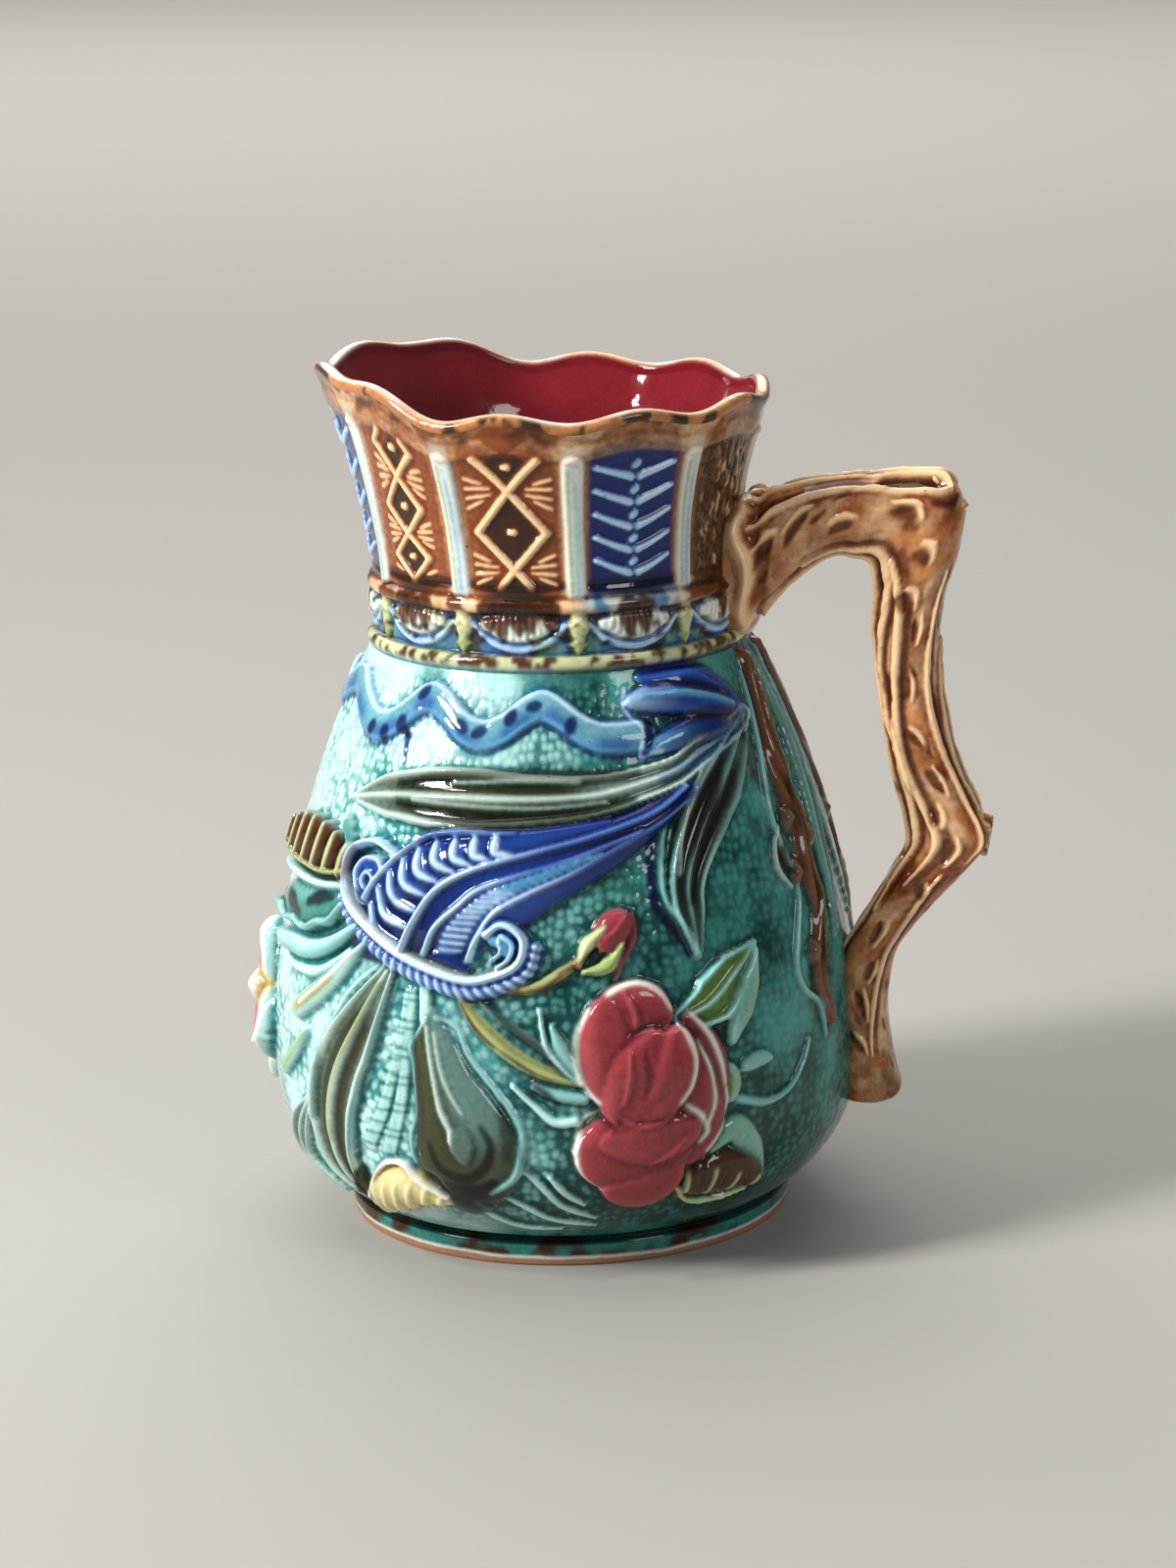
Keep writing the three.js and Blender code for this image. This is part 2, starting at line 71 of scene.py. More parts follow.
camera_data = bpy.data.cameras.new("camera")
camera = bpy.data.objects.new("camera", camera_data)
bpy.context.scene.collection.objects.link(camera)
right = Vector((0.980196, 0.196979, -0.020355))
up = Vector((-0.026941, 0.234479, 0.971748))
back = right.cross(up)
turned = Matrix((right, up, back)).transposed().to_4x4()
camera.matrix_world = Matrix.Translation((0.204388, -1.022164, 0.36)) @ turned
camera_data.sensor_fit = "VERTICAL"
camera_data.sensor_height = 24
camera_data.lens = 65.88
camera_data.clip_end = 50
bpy.context.scene.camera = camera
print("the camera stands", round(camera.location.length, 2), "m from the pitcher")

# %% [markdown]
# ## The wall
#
# A potter throws or moulds a jug as a turned profile, then presses the neck into its final form while
# the clay is soft. The same two steps are used here. A profile gives the radius at each height, and a
# second function leans the neck towards the spout and lets the rim wave up and down.

# %% Wall
FOOT_RADIUS, FOOT_HEIGHT = 55.5, 8.6
BELLY_RADIUS, BELLY_HEIGHT = 73.5, 45.0
WAIST_RADIUS, WAIST_HEIGHT = 44.8, 149.0
COLLAR_HEIGHT, RIM_RADIUS, RIM_HEIGHT = 162.0, 55.2, 206.0
WALL, FLOOR = 5.0, 8.0
PANELS = 10
RIM_WAVE, SPOUT_RISE, SPOUT_DIP, SPOUT_PULL, NECK_LEAN = 1.2, 7.5, 1.5, 3, 1.5


def smooth(value, start, end):
    share = np.clip((value - start) / (end - start), 0, 1)
    return share * share * (3 - 2 * share)


def wall_radius(height):
    height = np.asarray(height, float)
    below = np.clip((BELLY_HEIGHT - height) / (BELLY_HEIGHT - FOOT_HEIGHT), 0, 1.2)
    above = np.clip((height - BELLY_HEIGHT) / (WAIST_HEIGHT - BELLY_HEIGHT), 0, 1)
    share = np.clip((height - COLLAR_HEIGHT) / (RIM_HEIGHT - COLLAR_HEIGHT), 0, 1)
    radius = BELLY_RADIUS - (BELLY_RADIUS - FOOT_RADIUS - 1.6) * below ** 2.9
    radius = radius - (BELLY_RADIUS - WAIST_RADIUS) * above ** 1.8
    return radius + (RIM_RADIUS - WAIST_RADIUS) * (0.12 * share + 0.88 * share ** 2.3)


def shape_neck(points):
    x, y, z = points[..., 0], points[..., 1], points[..., 2]
    angle = np.arctan2(y, x)
    from_spout = 180 - np.abs(np.degrees(angle))
    rise = RIM_WAVE * (1 - np.cos(PANELS * angle)) + SPOUT_RISE * (1 - smooth(from_spout, 34, 78))
    rise -= SPOUT_DIP * (1 - smooth(from_spout, 0, 30))
    near_rim = smooth(z, 176, 204)
    pull = 1 + (SPOUT_PULL / RIM_RADIUS) * near_rim * (1 - smooth(from_spout, 4, 40))
    lean = NECK_LEAN * smooth(z, WAIST_HEIGHT, RIM_HEIGHT)
    return np.stack([x * pull - lean, y * pull, z + near_rim * rise], -1)


print("the belly is", 2 * BELLY_RADIUS, "mm wide and the waist", 2 * WAIST_RADIUS, "mm")

# %% [markdown]
# ## A patch of clay
#
# Relief on a jug is drawn and pressed on its curved wall. A patch is a grid of spots on that wall, with
# columns that go round and rows that go up. It holds how far each spot is raised, in millimetres, and two
# colours: the glaze where it is thin, and the same glaze where it lies deep. A path over the patch is a
# list of spots, each an angle round from the handle and a height, and a smooth curve is drawn through
# them. Each place near the curve then knows how far along it lies and how far to the side.

# %% Patch
PATH_STEP = 0.6
FAR_OFF, TINY = 1e3, 1e-6


def trace(path, straight=False):
    path = np.asarray(path, float)
    if straight or len(path) < 3:
        return path
    padded = np.vstack([2 * path[0] - path[1], path, 2 * path[-1] - path[-2]])
    step = np.linspace(0, 1, 12, endpoint=False)[:, None]
    runs = []
    for before, start, end, after in zip(padded, padded[1:], padded[2:], padded[3:]):
        bend = 2 * before - 5 * start + 4 * end - after
        twist = 3 * start - before - 3 * end + after
        runs.append(start + 0.5 * step * ((end - before) + step * (bend + step * twist)))
    return np.vstack(runs + [path[-1:]])


def run_along(steps):
    return np.concatenate([[0], np.cumsum(np.hypot(*steps))])


def spaced(curve, run, count):
    even = np.linspace(0, run[-1], count)
    return np.column_stack([np.interp(even, run, curve[:, k]) for k in (0, 1)])


class Patch:
    def __init__(self, angles, profile):
        self.angles = np.asarray(angles, float)
        self.radius, self.height = np.asarray(profile, float).T
        step = np.gradient(self.radius), np.gradient(self.height)
        size = np.maximum(np.hypot(*step), 1e-9)
        self.out, self.up = step[1] / size, -step[0] / size
        self.arc = run_along((np.diff(self.radius), np.diff(self.height)))
        self.per_degree = np.radians(np.maximum(self.radius, 1))
        self.shape = (len(self.height), len(self.angles))
        self.rise = np.zeros(self.shape)
        self.thin = np.zeros(self.shape + (3,))
        self.deep = np.zeros(self.shape + (3,))
        self.wet = np.zeros(self.shape)

    def across_wall(self):
        round_wall = self.angles[None, :] * np.radians(BELLY_RADIUS)
        return round_wall, np.repeat(self.arc[:, None], len(self.angles), 1)

    def follow(self, path, reach, straight=False):
        curve = trace(path, straight)
        curve = np.column_stack([curve[:, 0], np.interp(curve[:, 1], self.height, self.arc)])
        scale = np.interp(curve[:, 1], self.arc, self.per_degree)
        mean_scale = (scale[1:] + scale[:-1]) / 2
        run = run_along((np.diff(curve[:, 0]) * mean_scale, np.diff(curve[:, 1])))
        count = max(3, int(run[-1] / PATH_STEP) + 1)
        spots = spaced(curve, run, count)
        wide = reach / self.per_degree[np.searchsorted(self.arc, spots[:, 1]).clip(0, len(self.arc) - 1)]
        first, last = np.searchsorted(self.arc, [spots[:, 1].min() - reach, spots[:, 1].max() + reach])
        rows = np.arange(first, last)
        turn = np.concatenate([self.angles - 360, self.angles, self.angles + 360])
        start, end = np.searchsorted(turn, [(spots[:, 0] - wide).min(), (spots[:, 0] + wide).max()])
        angles, arc, scale = turn[start:end], self.arc[rows], self.per_degree[rows]
        nearest = np.full((len(rows), len(angles)), np.inf)
        which = np.zeros(nearest.shape, int)
        for k, (angle, level) in enumerate(spots):
            r0, r1 = np.searchsorted(arc, [level - reach, level + reach])
            c0, c1 = np.searchsorted(angles, [angle - wide[k], angle + wide[k]])
            aside = (angles[None, c0:c1] - angle) * scale[r0:r1, None]
            distance = aside ** 2 + (arc[r0:r1, None] - level) ** 2
            closer = distance < nearest[r0:r1, c0:c1]
            nearest[r0:r1, c0:c1][closer] = distance[closer]
            which[r0:r1, c0:c1][closer] = k
        heading = np.gradient(spots, axis=0)
        heading[:, 0] *= np.interp(spots[:, 1], self.arc, self.per_degree)
        heading /= np.linalg.norm(heading, axis=1)[:, None]
        dx = (angles[None, :] - spots[which, 0]) * scale[:, None]
        dy = arc[:, None] - spots[which, 1]
        forward = dx * heading[which, 0] + dy * heading[which, 1]
        side = dy * heading[which, 0] - dx * heading[which, 1]
        spacing = max(run[-1] / (count - 1), TINY)
        u = np.clip((which + forward / spacing) / (count - 1), 0, 1)
        past_end = ((which == 0) & (forward < 0)) | ((which == count - 1) & (forward > 0))
        distance = np.where(past_end, np.sqrt(np.minimum(nearest, FAR_OFF ** 2)), np.abs(side))
        distance = np.where(np.isfinite(nearest), distance, FAR_OFF)
        place = np.ix_(rows, np.arange(start, end) % len(self.angles))
        return place, u, np.where(side < 0, -distance, distance)


def along(values, u):
    values = np.atleast_1d(values)
    return np.interp(u, np.linspace(0, 1, len(values)), values) if len(values) > 1 else values[0] + 0 * u


print("a path of", len(trace([(0, 0), (5, 5), (10, 0)])), "spots runs through three")

# %% [markdown]
# ## Noise
#
# Hand work is never even. Two seeded patterns stand for that: a soft cloudy one, and one of small cells
# like pebbles. Both close on themselves, so they have no seam where they meet round the pitcher.

# %% Noise
ROUND = 2 * math.pi * BELLY_RADIUS
PEBBLE = 2.7
TABLE = 256


def cloud(x, y, size, seed, stretch=1.0):
    around = max(4, round(ROUND / size))
    table = np.random.default_rng(seed).random((TABLE, around))
    x, y = x / ROUND * around, y / (size * stretch)
    ix, iy = np.floor(x).astype(int), np.floor(y).astype(int)
    fx, fy = smooth(x - ix, 0, 1), smooth(y - iy, 0, 1)
    corner = [[table[(iy + b) % TABLE, (ix + a) % around] for a in (0, 1)] for b in (0, 1)]
    below = corner[0][0] * (1 - fx) + corner[0][1] * fx
    above = corner[1][0] * (1 - fx) + corner[1][1] * fx
    return below * (1 - fy) + above * fy


def clouds(x, y, size, seed, stretch=1.0):
    parts = [cloud(x, y, size / 2 ** k, seed + k, stretch) / 2 ** k for k in range(3)]
    return sum(parts) / 1.75


def pebbles(x, y, size, seed, spread):
    around = max(4, round(ROUND / size))
    table = np.random.default_rng(seed).random((2, TABLE, around)) * spread + (1 - spread) / 2
    x, y = x / ROUND * around, y / size
    x, y = np.broadcast_arrays(x, y)
    ix, iy = np.floor(x).astype(int), np.floor(y).astype(int)
    nearest = np.full(x.shape, 9.0)
    for a in (-1, 0, 1):
        for b in (-1, 0, 1):
            gx, gy = (ix + a) % around, (iy + b) % TABLE
            away = np.hypot(ix + a + table[0][gy, gx] - x, iy + b + table[1][gy, gx] - y)
            nearest = np.minimum(nearest, away)
    return nearest


def blur(field, cells):
    radius = max(1, int(cells * 2.5))
    weights = np.exp(-0.5 * (np.arange(-radius, radius + 1) / cells) ** 2)
    weights /= weights.sum()
    padded = np.pad(field, ((radius, radius), (0, 0)), mode="edge")
    field = sum(w * padded[k:k + field.shape[0]] for k, w in enumerate(weights))
    padded = np.pad(field, ((0, 0), (radius, radius)), mode="wrap")
    return sum(w * padded[:, k:k + field.shape[1]] for k, w in enumerate(weights))


print("the pebble pattern has", round(ROUND / PEBBLE), "cells round the belly")

# %% [markdown]
# ## The glazes
#
# Majolica is painted with lead glazes over a pale body. Each glaze is named here with two colours, as the
# eye sees them: where it has run thin over an edge, and where it lies deep. One list for all the pieces
# keeps the pitcher's colours together.

# %% Glazes
GLAZES = {
    "turquoise": ((142, 202, 198), (10, 84, 84)),
    "mint": ((192, 232, 228), (36, 126, 126)),
    "teal": ((70, 154, 144), (0, 54, 50)),
    "mist": ((140, 192, 188), (18, 90, 90)),
    "pale_leaf": ((186, 208, 196), (46, 78, 62)),
    "grey_leaf": ((110, 146, 140), (30, 58, 52)),
    "dark_leaf": ((68, 74, 38), (12, 16, 7)),
    "black": ((32, 26, 18), (7, 5, 4)),
    "leaf_green": ((136, 170, 78), (44, 84, 14)),
    "sap": ((164, 172, 110), (60, 70, 26)),
    "sky": ((190, 220, 242), (40, 90, 172)),
    "cobalt": ((38, 80, 164), (6, 24, 94)),
    "ink": ((18, 44, 116), (3, 9, 44)),
    "sea": ((92, 160, 198), (8, 60, 120)),
    "rose": ((172, 70, 76), (92, 20, 30)),
    "bud": ((136, 50, 62), (66, 16, 26)),
    "cream": ((242, 238, 224), (150, 172, 160)),
    "pearl": ((232, 238, 230), (132, 164, 166)),
    "yellow": ((236, 228, 172), (186, 156, 78)),
    "pink": ((226, 130, 140), (176, 62, 80)),
    "amber": ((222, 152, 94), (114, 46, 12)),
    "honey": ((246, 206, 158), (140, 70, 24)),
    "brown": ((118, 62, 26), (52, 22, 7)),
    "umber": ((82, 50, 30), (28, 14, 7)),
    "moss": ((200, 208, 158), (104, 106, 50)),
    "bark": ((136, 108, 76), (58, 38, 22)),
}


def linear(colour):
    colour = np.asarray(colour, float) / 255
    return np.where(colour <= 0.04045, colour / 12.92, ((colour + 0.055) / 1.055) ** 2.4)


COLOURS = {name: (linear(thin), linear(deep)) for name, (thin, deep) in GLAZES.items()}


def blend(first, second, share):
    share = np.asarray(share)[..., None]
    pairs = zip(*[COLOURS[g] if isinstance(g, str) else g for g in (first, second)])
    return tuple(a * (1 - share) + b * share for a, b in pairs)


print(len(GLAZES), "glazes")

# %% [markdown]
# ## One stroke of relief
#
# Everything on the wall is made of strokes: a bar of clay along a path, with its width, its height and
# its section. A stroke either stands over what is there, so that the higher of the two shows, or lies on
# it and follows its shape. The glaze of a stroke covers just the clay that the stroke shows.

# %% Stroke
def cover(patch, glaze, share, place=...):
    thin, deep = COLOURS[glaze] if isinstance(glaze, str) else glaze
    share = share[..., None]
    patch.thin[place] = patch.thin[place] * (1 - share) + thin * share
    patch.deep[place] = patch.deep[place] * (1 - share) + deep * share


def bar(u, v):
    return np.sqrt(np.clip(1 - v * v, 0, 1))


def flat(u, v):
    return np.sqrt(np.clip(1 - np.abs(v) ** 6, 0, 1))


def stroke(patch, path, width, lift, glaze, section=bar, lies_on=False, straight=False, bias=0.15):
    reach = np.max(width) / 2 + 0.8
    place, u, side = patch.follow(path, reach, straight)
    half = np.maximum(along(width, u) / 2, 0.3)
    v = np.clip(side / half, -1, 1)
    inside = 1 - smooth(np.abs(side), half - 0.25, half + 0.35)
    height = along(lift, u) * section(u, v)
    ground = patch.rise[place]
    if lies_on:
        shown = inside
        patch.rise[place] = ground + height * (np.abs(side) < half)
    else:
        shown = inside * smooth(height - ground, -bias, 0.1)
        patch.rise[place] = np.where(np.abs(side) < half, np.maximum(height, ground), ground)
    patch.wet[place] *= 1 - shown
    cover(patch, glaze if isinstance(glaze, str) else glaze(u, v), shown, place)


PAINTED_DEPTH = 0.3


def line(patch, path, width, glaze, strength=1.0, soft=0.5, straight=False):
    place, u, side = patch.follow(path, np.max(width) / 2 + 2 * soft, straight)
    half = along(width, u) / 2
    shown = strength * (1 - smooth(np.abs(side), half - soft, half + soft))
    patch.wet[place] += PAINTED_DEPTH * shown
    cover(patch, glaze, shown, place)


def oval(width):
    u = np.linspace(0, 1, 33)
    return width * np.sqrt(np.clip(1 - (2 * u - 1) ** 2, 0, 1))


print("an oval stroke 10 mm wide is", round(float(oval(10).mean()), 2), "mm wide on average")

# %% [markdown]
# ## The belly
#
# The belly carries nearly all of the carving. On the real jug it comes out of a plaster mould that was
# carved in reverse. Here one patch goes all the way round, finer on the side that is carved most, so
# that no seam shows where two patches would meet. The ground is stippled all over like small pebbles, and
# in the brick strips beside the pod the stipple is laid in courses.

# %% Ground of the belly
FINE_COLUMNS, COARSE_COLUMNS, BELLY_ROWS = 560, 240, 330
BELLY_TOP = 145.4
belly_angles = np.concatenate([
    np.linspace(-180, 0, FINE_COLUMNS, endpoint=False),
    np.linspace(0, 180, COARSE_COLUMNS, endpoint=False),
])
belly_heights = np.linspace(FOOT_HEIGHT, BELLY_TOP, BELLY_ROWS)
belly = Patch(belly_angles, np.column_stack([wall_radius(belly_heights), belly_heights]))


def lay_ground(patch):
    x, y = patch.across_wall()
    wander = 1.6 * (cloud(x, y, 6, 5) - 0.5)
    near = pebbles(x + wander, y + wander, PEBBLE, 11, 0.7)
    dome = 1 - smooth(near, 0.12, 0.62)
    fade = (smooth(patch.height, FOOT_HEIGHT + 3, 16) * (1 - smooth(patch.height, 141, 144.5)))[:, None]
    strength = 0.5 + 0.5 * smooth(clouds(x, y, 26, 21), 0.35, 0.6)
    strength = strength * (0.6 + 0.4 * smooth(np.abs(patch.angles), 50, 110))[None, :]
    patch.rise += 0.24 * dome * strength * fade + 0.5 * (clouds(x, y, 11, 27) - 0.5)
    patch.wet += 0.5 * (0.42 - dome) * strength * fade + 1.2 * (clouds(x, y, 11, 25) - 0.5)
    # Painted light and shade, partly glaze tone: the ground turns paler, up to mint, towards the spout side
    # where the light falls, and darker teal, with more pooled glaze, towards the handle and low down beside
    # it.
    by_handle = (1 - smooth(np.abs(patch.angles), 40, 100))[None, :]
    shaded_low_down = (1 - smooth(patch.height, 15, 60))[:, None] * by_handle
    patch.wet += 0.5 * shaded_low_down - 0.2 * smooth(np.abs(patch.angles), 95, 140)[None, :]
    toward_lit_side = smooth(np.abs(patch.angles), 40, 130)[None, :]
    lit = toward_lit_side + 0.7 * (clouds(x, y, 18, 31) - 0.5) - 0.3 * shaded_low_down
    shade = smooth(lit, 0.05, 0.95)
    patch.thin, patch.deep = blend("teal", "turquoise", smooth(shade, 0, 0.55))
    cover(patch, blend("turquoise", "mint", smooth(shade, 0.5, 1)), smooth(shade, 0.5, 0.6))


lay_ground(belly)
print("the belly patch has", belly.shape, "spots")

# %% [markdown]
# ## Ribbon and lily
#
# Under the collar a blue ribbon waves round the neck, with dark lozenges painted where it turns. On the
# handle side it runs out of a blue lily, from which two long leaves hang. A long leaf of this kind has
# pale, raised edges and a raised midrib, and the dark glaze lies in the two channels between them.
#
# The carving of the front is repeated on the back as its mirror image. So every path is written once, for
# the front, and turned to the side that is being carved. To carve is to stand clay over what is there, to
# lay is to let a thin strip follow it, and to tint is to change only the glaze along a path.

# %% Ribbon and lily
def turned_to(side, path):
    return [(side * angle, height) for angle, height in path]


def carve(side, path, *shape, **more):
    stroke(belly, turned_to(side, path), *shape, **more)


def lay(side, path, *shape):
    stroke(belly, turned_to(side, path), *shape, lies_on=True)


def tint(side, path, *shape):
    line(belly, turned_to(side, path), *shape)


def leaf_section(u, v):
    midrib = 0.42 * np.exp(-(v / 0.16) ** 2)
    raised_edge = 0.5 * smooth(np.abs(v), 0.6, 0.82)
    return 0.44 + midrib + raised_edge - 0.9 * smooth(np.abs(v), 0.93, 1)


def leaf_glaze(edge, channel, start=0.08, end=0.92, middle=0.12, rim=0.72):
    def paint(u, v):
        lane = smooth(np.abs(v), middle, middle + 0.16) * (1 - smooth(np.abs(v), rim - 0.16, rim + 0.08))
        lane = lane * smooth(u, start, start + 0.14) * (1 - smooth(u, end - 0.2, end))
        return blend(edge, channel, lane)
    return paint


def ribbon_glaze(u, v):
    swing = np.abs(np.sin(u * math.pi * 9))
    watery = blend("sea", "turquoise", 0.25 + 0.4 * smooth(v, -0.6, 0.6))
    return blend(watery, "cobalt", 0.7 * smooth(swing, 0.3, 0.9) * (1 - smooth(v, -0.4, 0.5)))


RIBBON = [(-176, 137), (-168, 133), (-160, 136), (-151, 138.5), (-141, 133.5), (-133, 130.5), (-126, 132.5),
          (-117, 138.6), (-110.5, 137.4), (-104, 133), (-98, 131.6), (-92.5, 133.4), (-87, 137),
          (-82.5, 138.4), (-78, 136.4),
          (-73, 133), (-67, 130.8), (-57, 130.6)]
LOZENGES = [(-134, 129.5, 60), (-128.5, 129, 75), (-123, 132, 70), (-117.5, 139.5, 50), (-104, 133, -40),
            (-99, 132, 30), (-91, 135.5, 60), (-85, 138, 20), (-75.5, 133.6, 70)]


def carve_ribbon(side):
    carve(side, RIBBON, 7.6, 1.7, ribbon_glaze, bias=0.5)
    edge = [(angle, height + 3.1) for angle, height in RIBBON]
    lay(side, edge, 1.3, 0.4, "sky")
    edge = [(angle, height - 3.1) for angle, height in RIBBON]
    lay(side, edge, 1.1, 0.3, "sea")
    edge = [(angle, height - 4.3) for angle, height in RIBBON]
    tint(side, edge, 0.9, "cobalt", 0.7)
    for angle, height, lean in LOZENGES:
        dx, dy = 2.2 * math.cos(math.radians(lean)), 2.2 * math.sin(math.radians(lean))
        spot = [(angle - dx, height - dy), (angle, height), (angle + dx, height + dy)]
        tint(side, spot, oval(2.8), "ink", 0.9)
    tint(side, [(-121, 130), (-120.5, 127), (-120, 123.5)], [2.4, 1.4, 0.8], "ink")


def carve_lily(side):
    upper = [(-22, 132), (-32, 138), (-44, 142.5), (-56, 143.5)]
    middle = [(-22, 131), (-36, 135.5), (-48, 138.5), (-60.5, 138)]
    lower = [(-23, 129), (-37, 130.5), (-47, 129.5), (-57, 127)]
    carve(side, upper, oval(10.5), [1.2, 3.4, 3.4, 1.6],
          lambda u, v: blend("cobalt", "ink", 0.15 + 0.6 * v * v))
    carve(side, lower, oval(8), [1.4, 3, 3.2, 1.6],
          lambda u, v: blend("ink", "sea", smooth(u, 0.45, 1) * 0.8))
    carve(side, middle, oval(9.5), [1.6, 3.8, 3.9, 2],
          lambda u, v: blend("cobalt", "sky", smooth(u, 0.6, 1) * 0.6))
    lay(side, [(-28, 134), (-42, 138), (-56, 139)], [1.4, 1.8, 1], 0.7, "sea")
    for path in ([(-27, 132), (-41, 133), (-55, 130)], [(-28, 136), (-43, 140.5), (-53, 141)]):
        tint(side, path, [1, 3.2, 0.8], "ink", 0.95)
    tint(side, [(-55, 133), (-56, 129), (-56.5, 125.5)], [2.6, 2, 1], "ink")
    lay(side, [(-59.5, 141), (-60.5, 137), (-57, 132.5)], 1.2, 0.4, "sky")
    lay(side, [(-57.5, 129), (-58, 126), (-53, 126.5)], 1.1, 0.4, "sky")


def carve_long_leaves(side):
    hanging = [(-24, 131), (-34, 122), (-43, 113), (-49, 104), (-52, 96), (-52, 88), (-51.5, 80)]
    carve(side, hanging, [3, 9, 14, 13, 10, 8, 2.5], 2.7,
          leaf_glaze("grey_leaf", "black", 0.12, 0.95, 0.1, 0.66), leaf_section)
    lay(side, [(-42, 124), (-50, 117.6), (-55.6, 108.7), (-57.2, 99), (-56.6, 92.5), (-53.4, 86),
               (-51.5, 80)], [1, 1.6, 1.8, 1.6, 1.4, 1.2, 0.8], 1, "mist")
    tint(side, [(-44, 125.5), (-53, 117), (-58.4, 107.5), (-59.4, 97), (-58.6, 91), (-55, 85), (-53, 80)],
         [3.4, 2.4, 2.2, 3, 2.6, 2, 1.4], "ink", 0.95)
    tint(side, [(-38, 120), (-45, 111), (-49, 101), (-52, 92)], [1, 5, 4, 1], "black", 0.85, 0.9)
    lay(side, [(-36, 125), (-44.5, 118), (-51, 109), (-53.5, 99)], 1.1, 0.5, "pale_leaf")
    lying = [(-24, 131), (-34, 127.6), (-43, 125), (-50, 122), (-60, 119.8), (-71, 118), (-87, 117.3),
             (-106, 117), (-120, 116), (-134, 113.5)]
    width = [5, 6, 7, 8.5, 11, 13, 15.5, 15, 11, 1.5]
    carve(side, lying, width, 2.7, leaf_glaze("pale_leaf", "dark_leaf", 0.36, 0.99, 0.06, 0.7),
          leaf_section)
    tint(side, [(-26, 130), (-40, 125), (-54, 120.5)], [3, 5, 2], "sea", 0.55, 1.2)
    tint(side, [(-62, 116.5), (-72, 114.8), (-88, 113.6), (-104, 113.8), (-118, 114.8)], [2, 6, 7, 6, 2],
         "dark_leaf", 0.9, 0.9)
    tint(side, [(-60, 122.4), (-74, 122.4), (-90, 122.2), (-106, 121.2), (-119, 118.8)],
         [1.5, 4.4, 5, 4.4, 1.5], "dark_leaf", 0.8, 0.9)
    lay(side, [(-68, 116.6), (-84, 115.6), (-102, 115.6), (-114, 115.6)], 0.9, 0.35, "pale_leaf")
    lay(side, [(-74, 121.2), (-88, 121.6), (-104, 120.6)], 0.9, 0.35, "pale_leaf")


for side in (1, -1):
    carve_ribbon(side)
    carve_lily(side)
    carve_long_leaves(side)
print("the highest spot so far stands", round(float(belly.rise.max()), 2), "mm off the wall")

# %% [markdown]
# ## The shell
#
# The great shell is a horn in two folds that widens down to a rolled lip with a curl at each end. It is
# ribbed across, as a scallop is along its growth lines, and a row of small ticks is milled outside the
# lip. Cobalt glaze runs off the ribs and gathers in the mouth, so ribs and cords show pale blue.

# %% Shell
RIM = [(-115.2, 103), (-121.3, 105), (-127.2, 102.3), (-128, 95.8), (-125.4, 89.7), (-119.5, 85.3),
       (-112, 81), (-104.9, 78.2), (-97.5, 76.2), (-92.6, 77.1), (-87.4, 80.2), (-86.1, 85.2),
       (-88, 88.4), (-90.8, 89.2), (-93.4, 86.9)]
OUTER_CORD = [(-88, 110), (-104.5, 109), (-110.5, 106), (-115.8, 101), (-119.4, 96), (-121.4, 91.7)]
FIRST_RIDGE = [(-110.9, 81.8), (-108.8, 88.2), (-104.2, 96.3), (-96.3, 101.5), (-83.9, 105.6), (-71.4, 109),
               (-58, 113.2), (-49, 118)]
SECOND_RIDGE = [(-106.1, 81.4), (-104, 87.7), (-99.3, 93.1), (-95, 97.2), (-86.3, 100.8), (-76.6, 103.9),
                (-61, 109.6)]
LOWER_EDGE = [(-97, 81), (-95.4, 85.8), (-91.9, 92), (-85.3, 96.5), (-76.7, 100.7), (-66.5, 106.2),
              (-55.5, 111.5), (-46, 117)]


def beside(path, shift):
    path = np.asarray(path, float)
    heading = np.gradient(path, axis=0)
    heading[:, 0] *= np.radians(BELLY_RADIUS * 0.85)
    heading /= np.linalg.norm(heading, axis=1)[:, None]
    moved = path.copy()
    moved[:, 0] -= heading[:, 1] * shift / np.radians(BELLY_RADIUS * 0.85)
    moved[:, 1] += heading[:, 0] * shift
    return [tuple(spot) for spot in moved]


def evenly(path, count):
    curve = trace(path)
    return spaced(curve, run_along(np.diff(curve, axis=0).T), count)


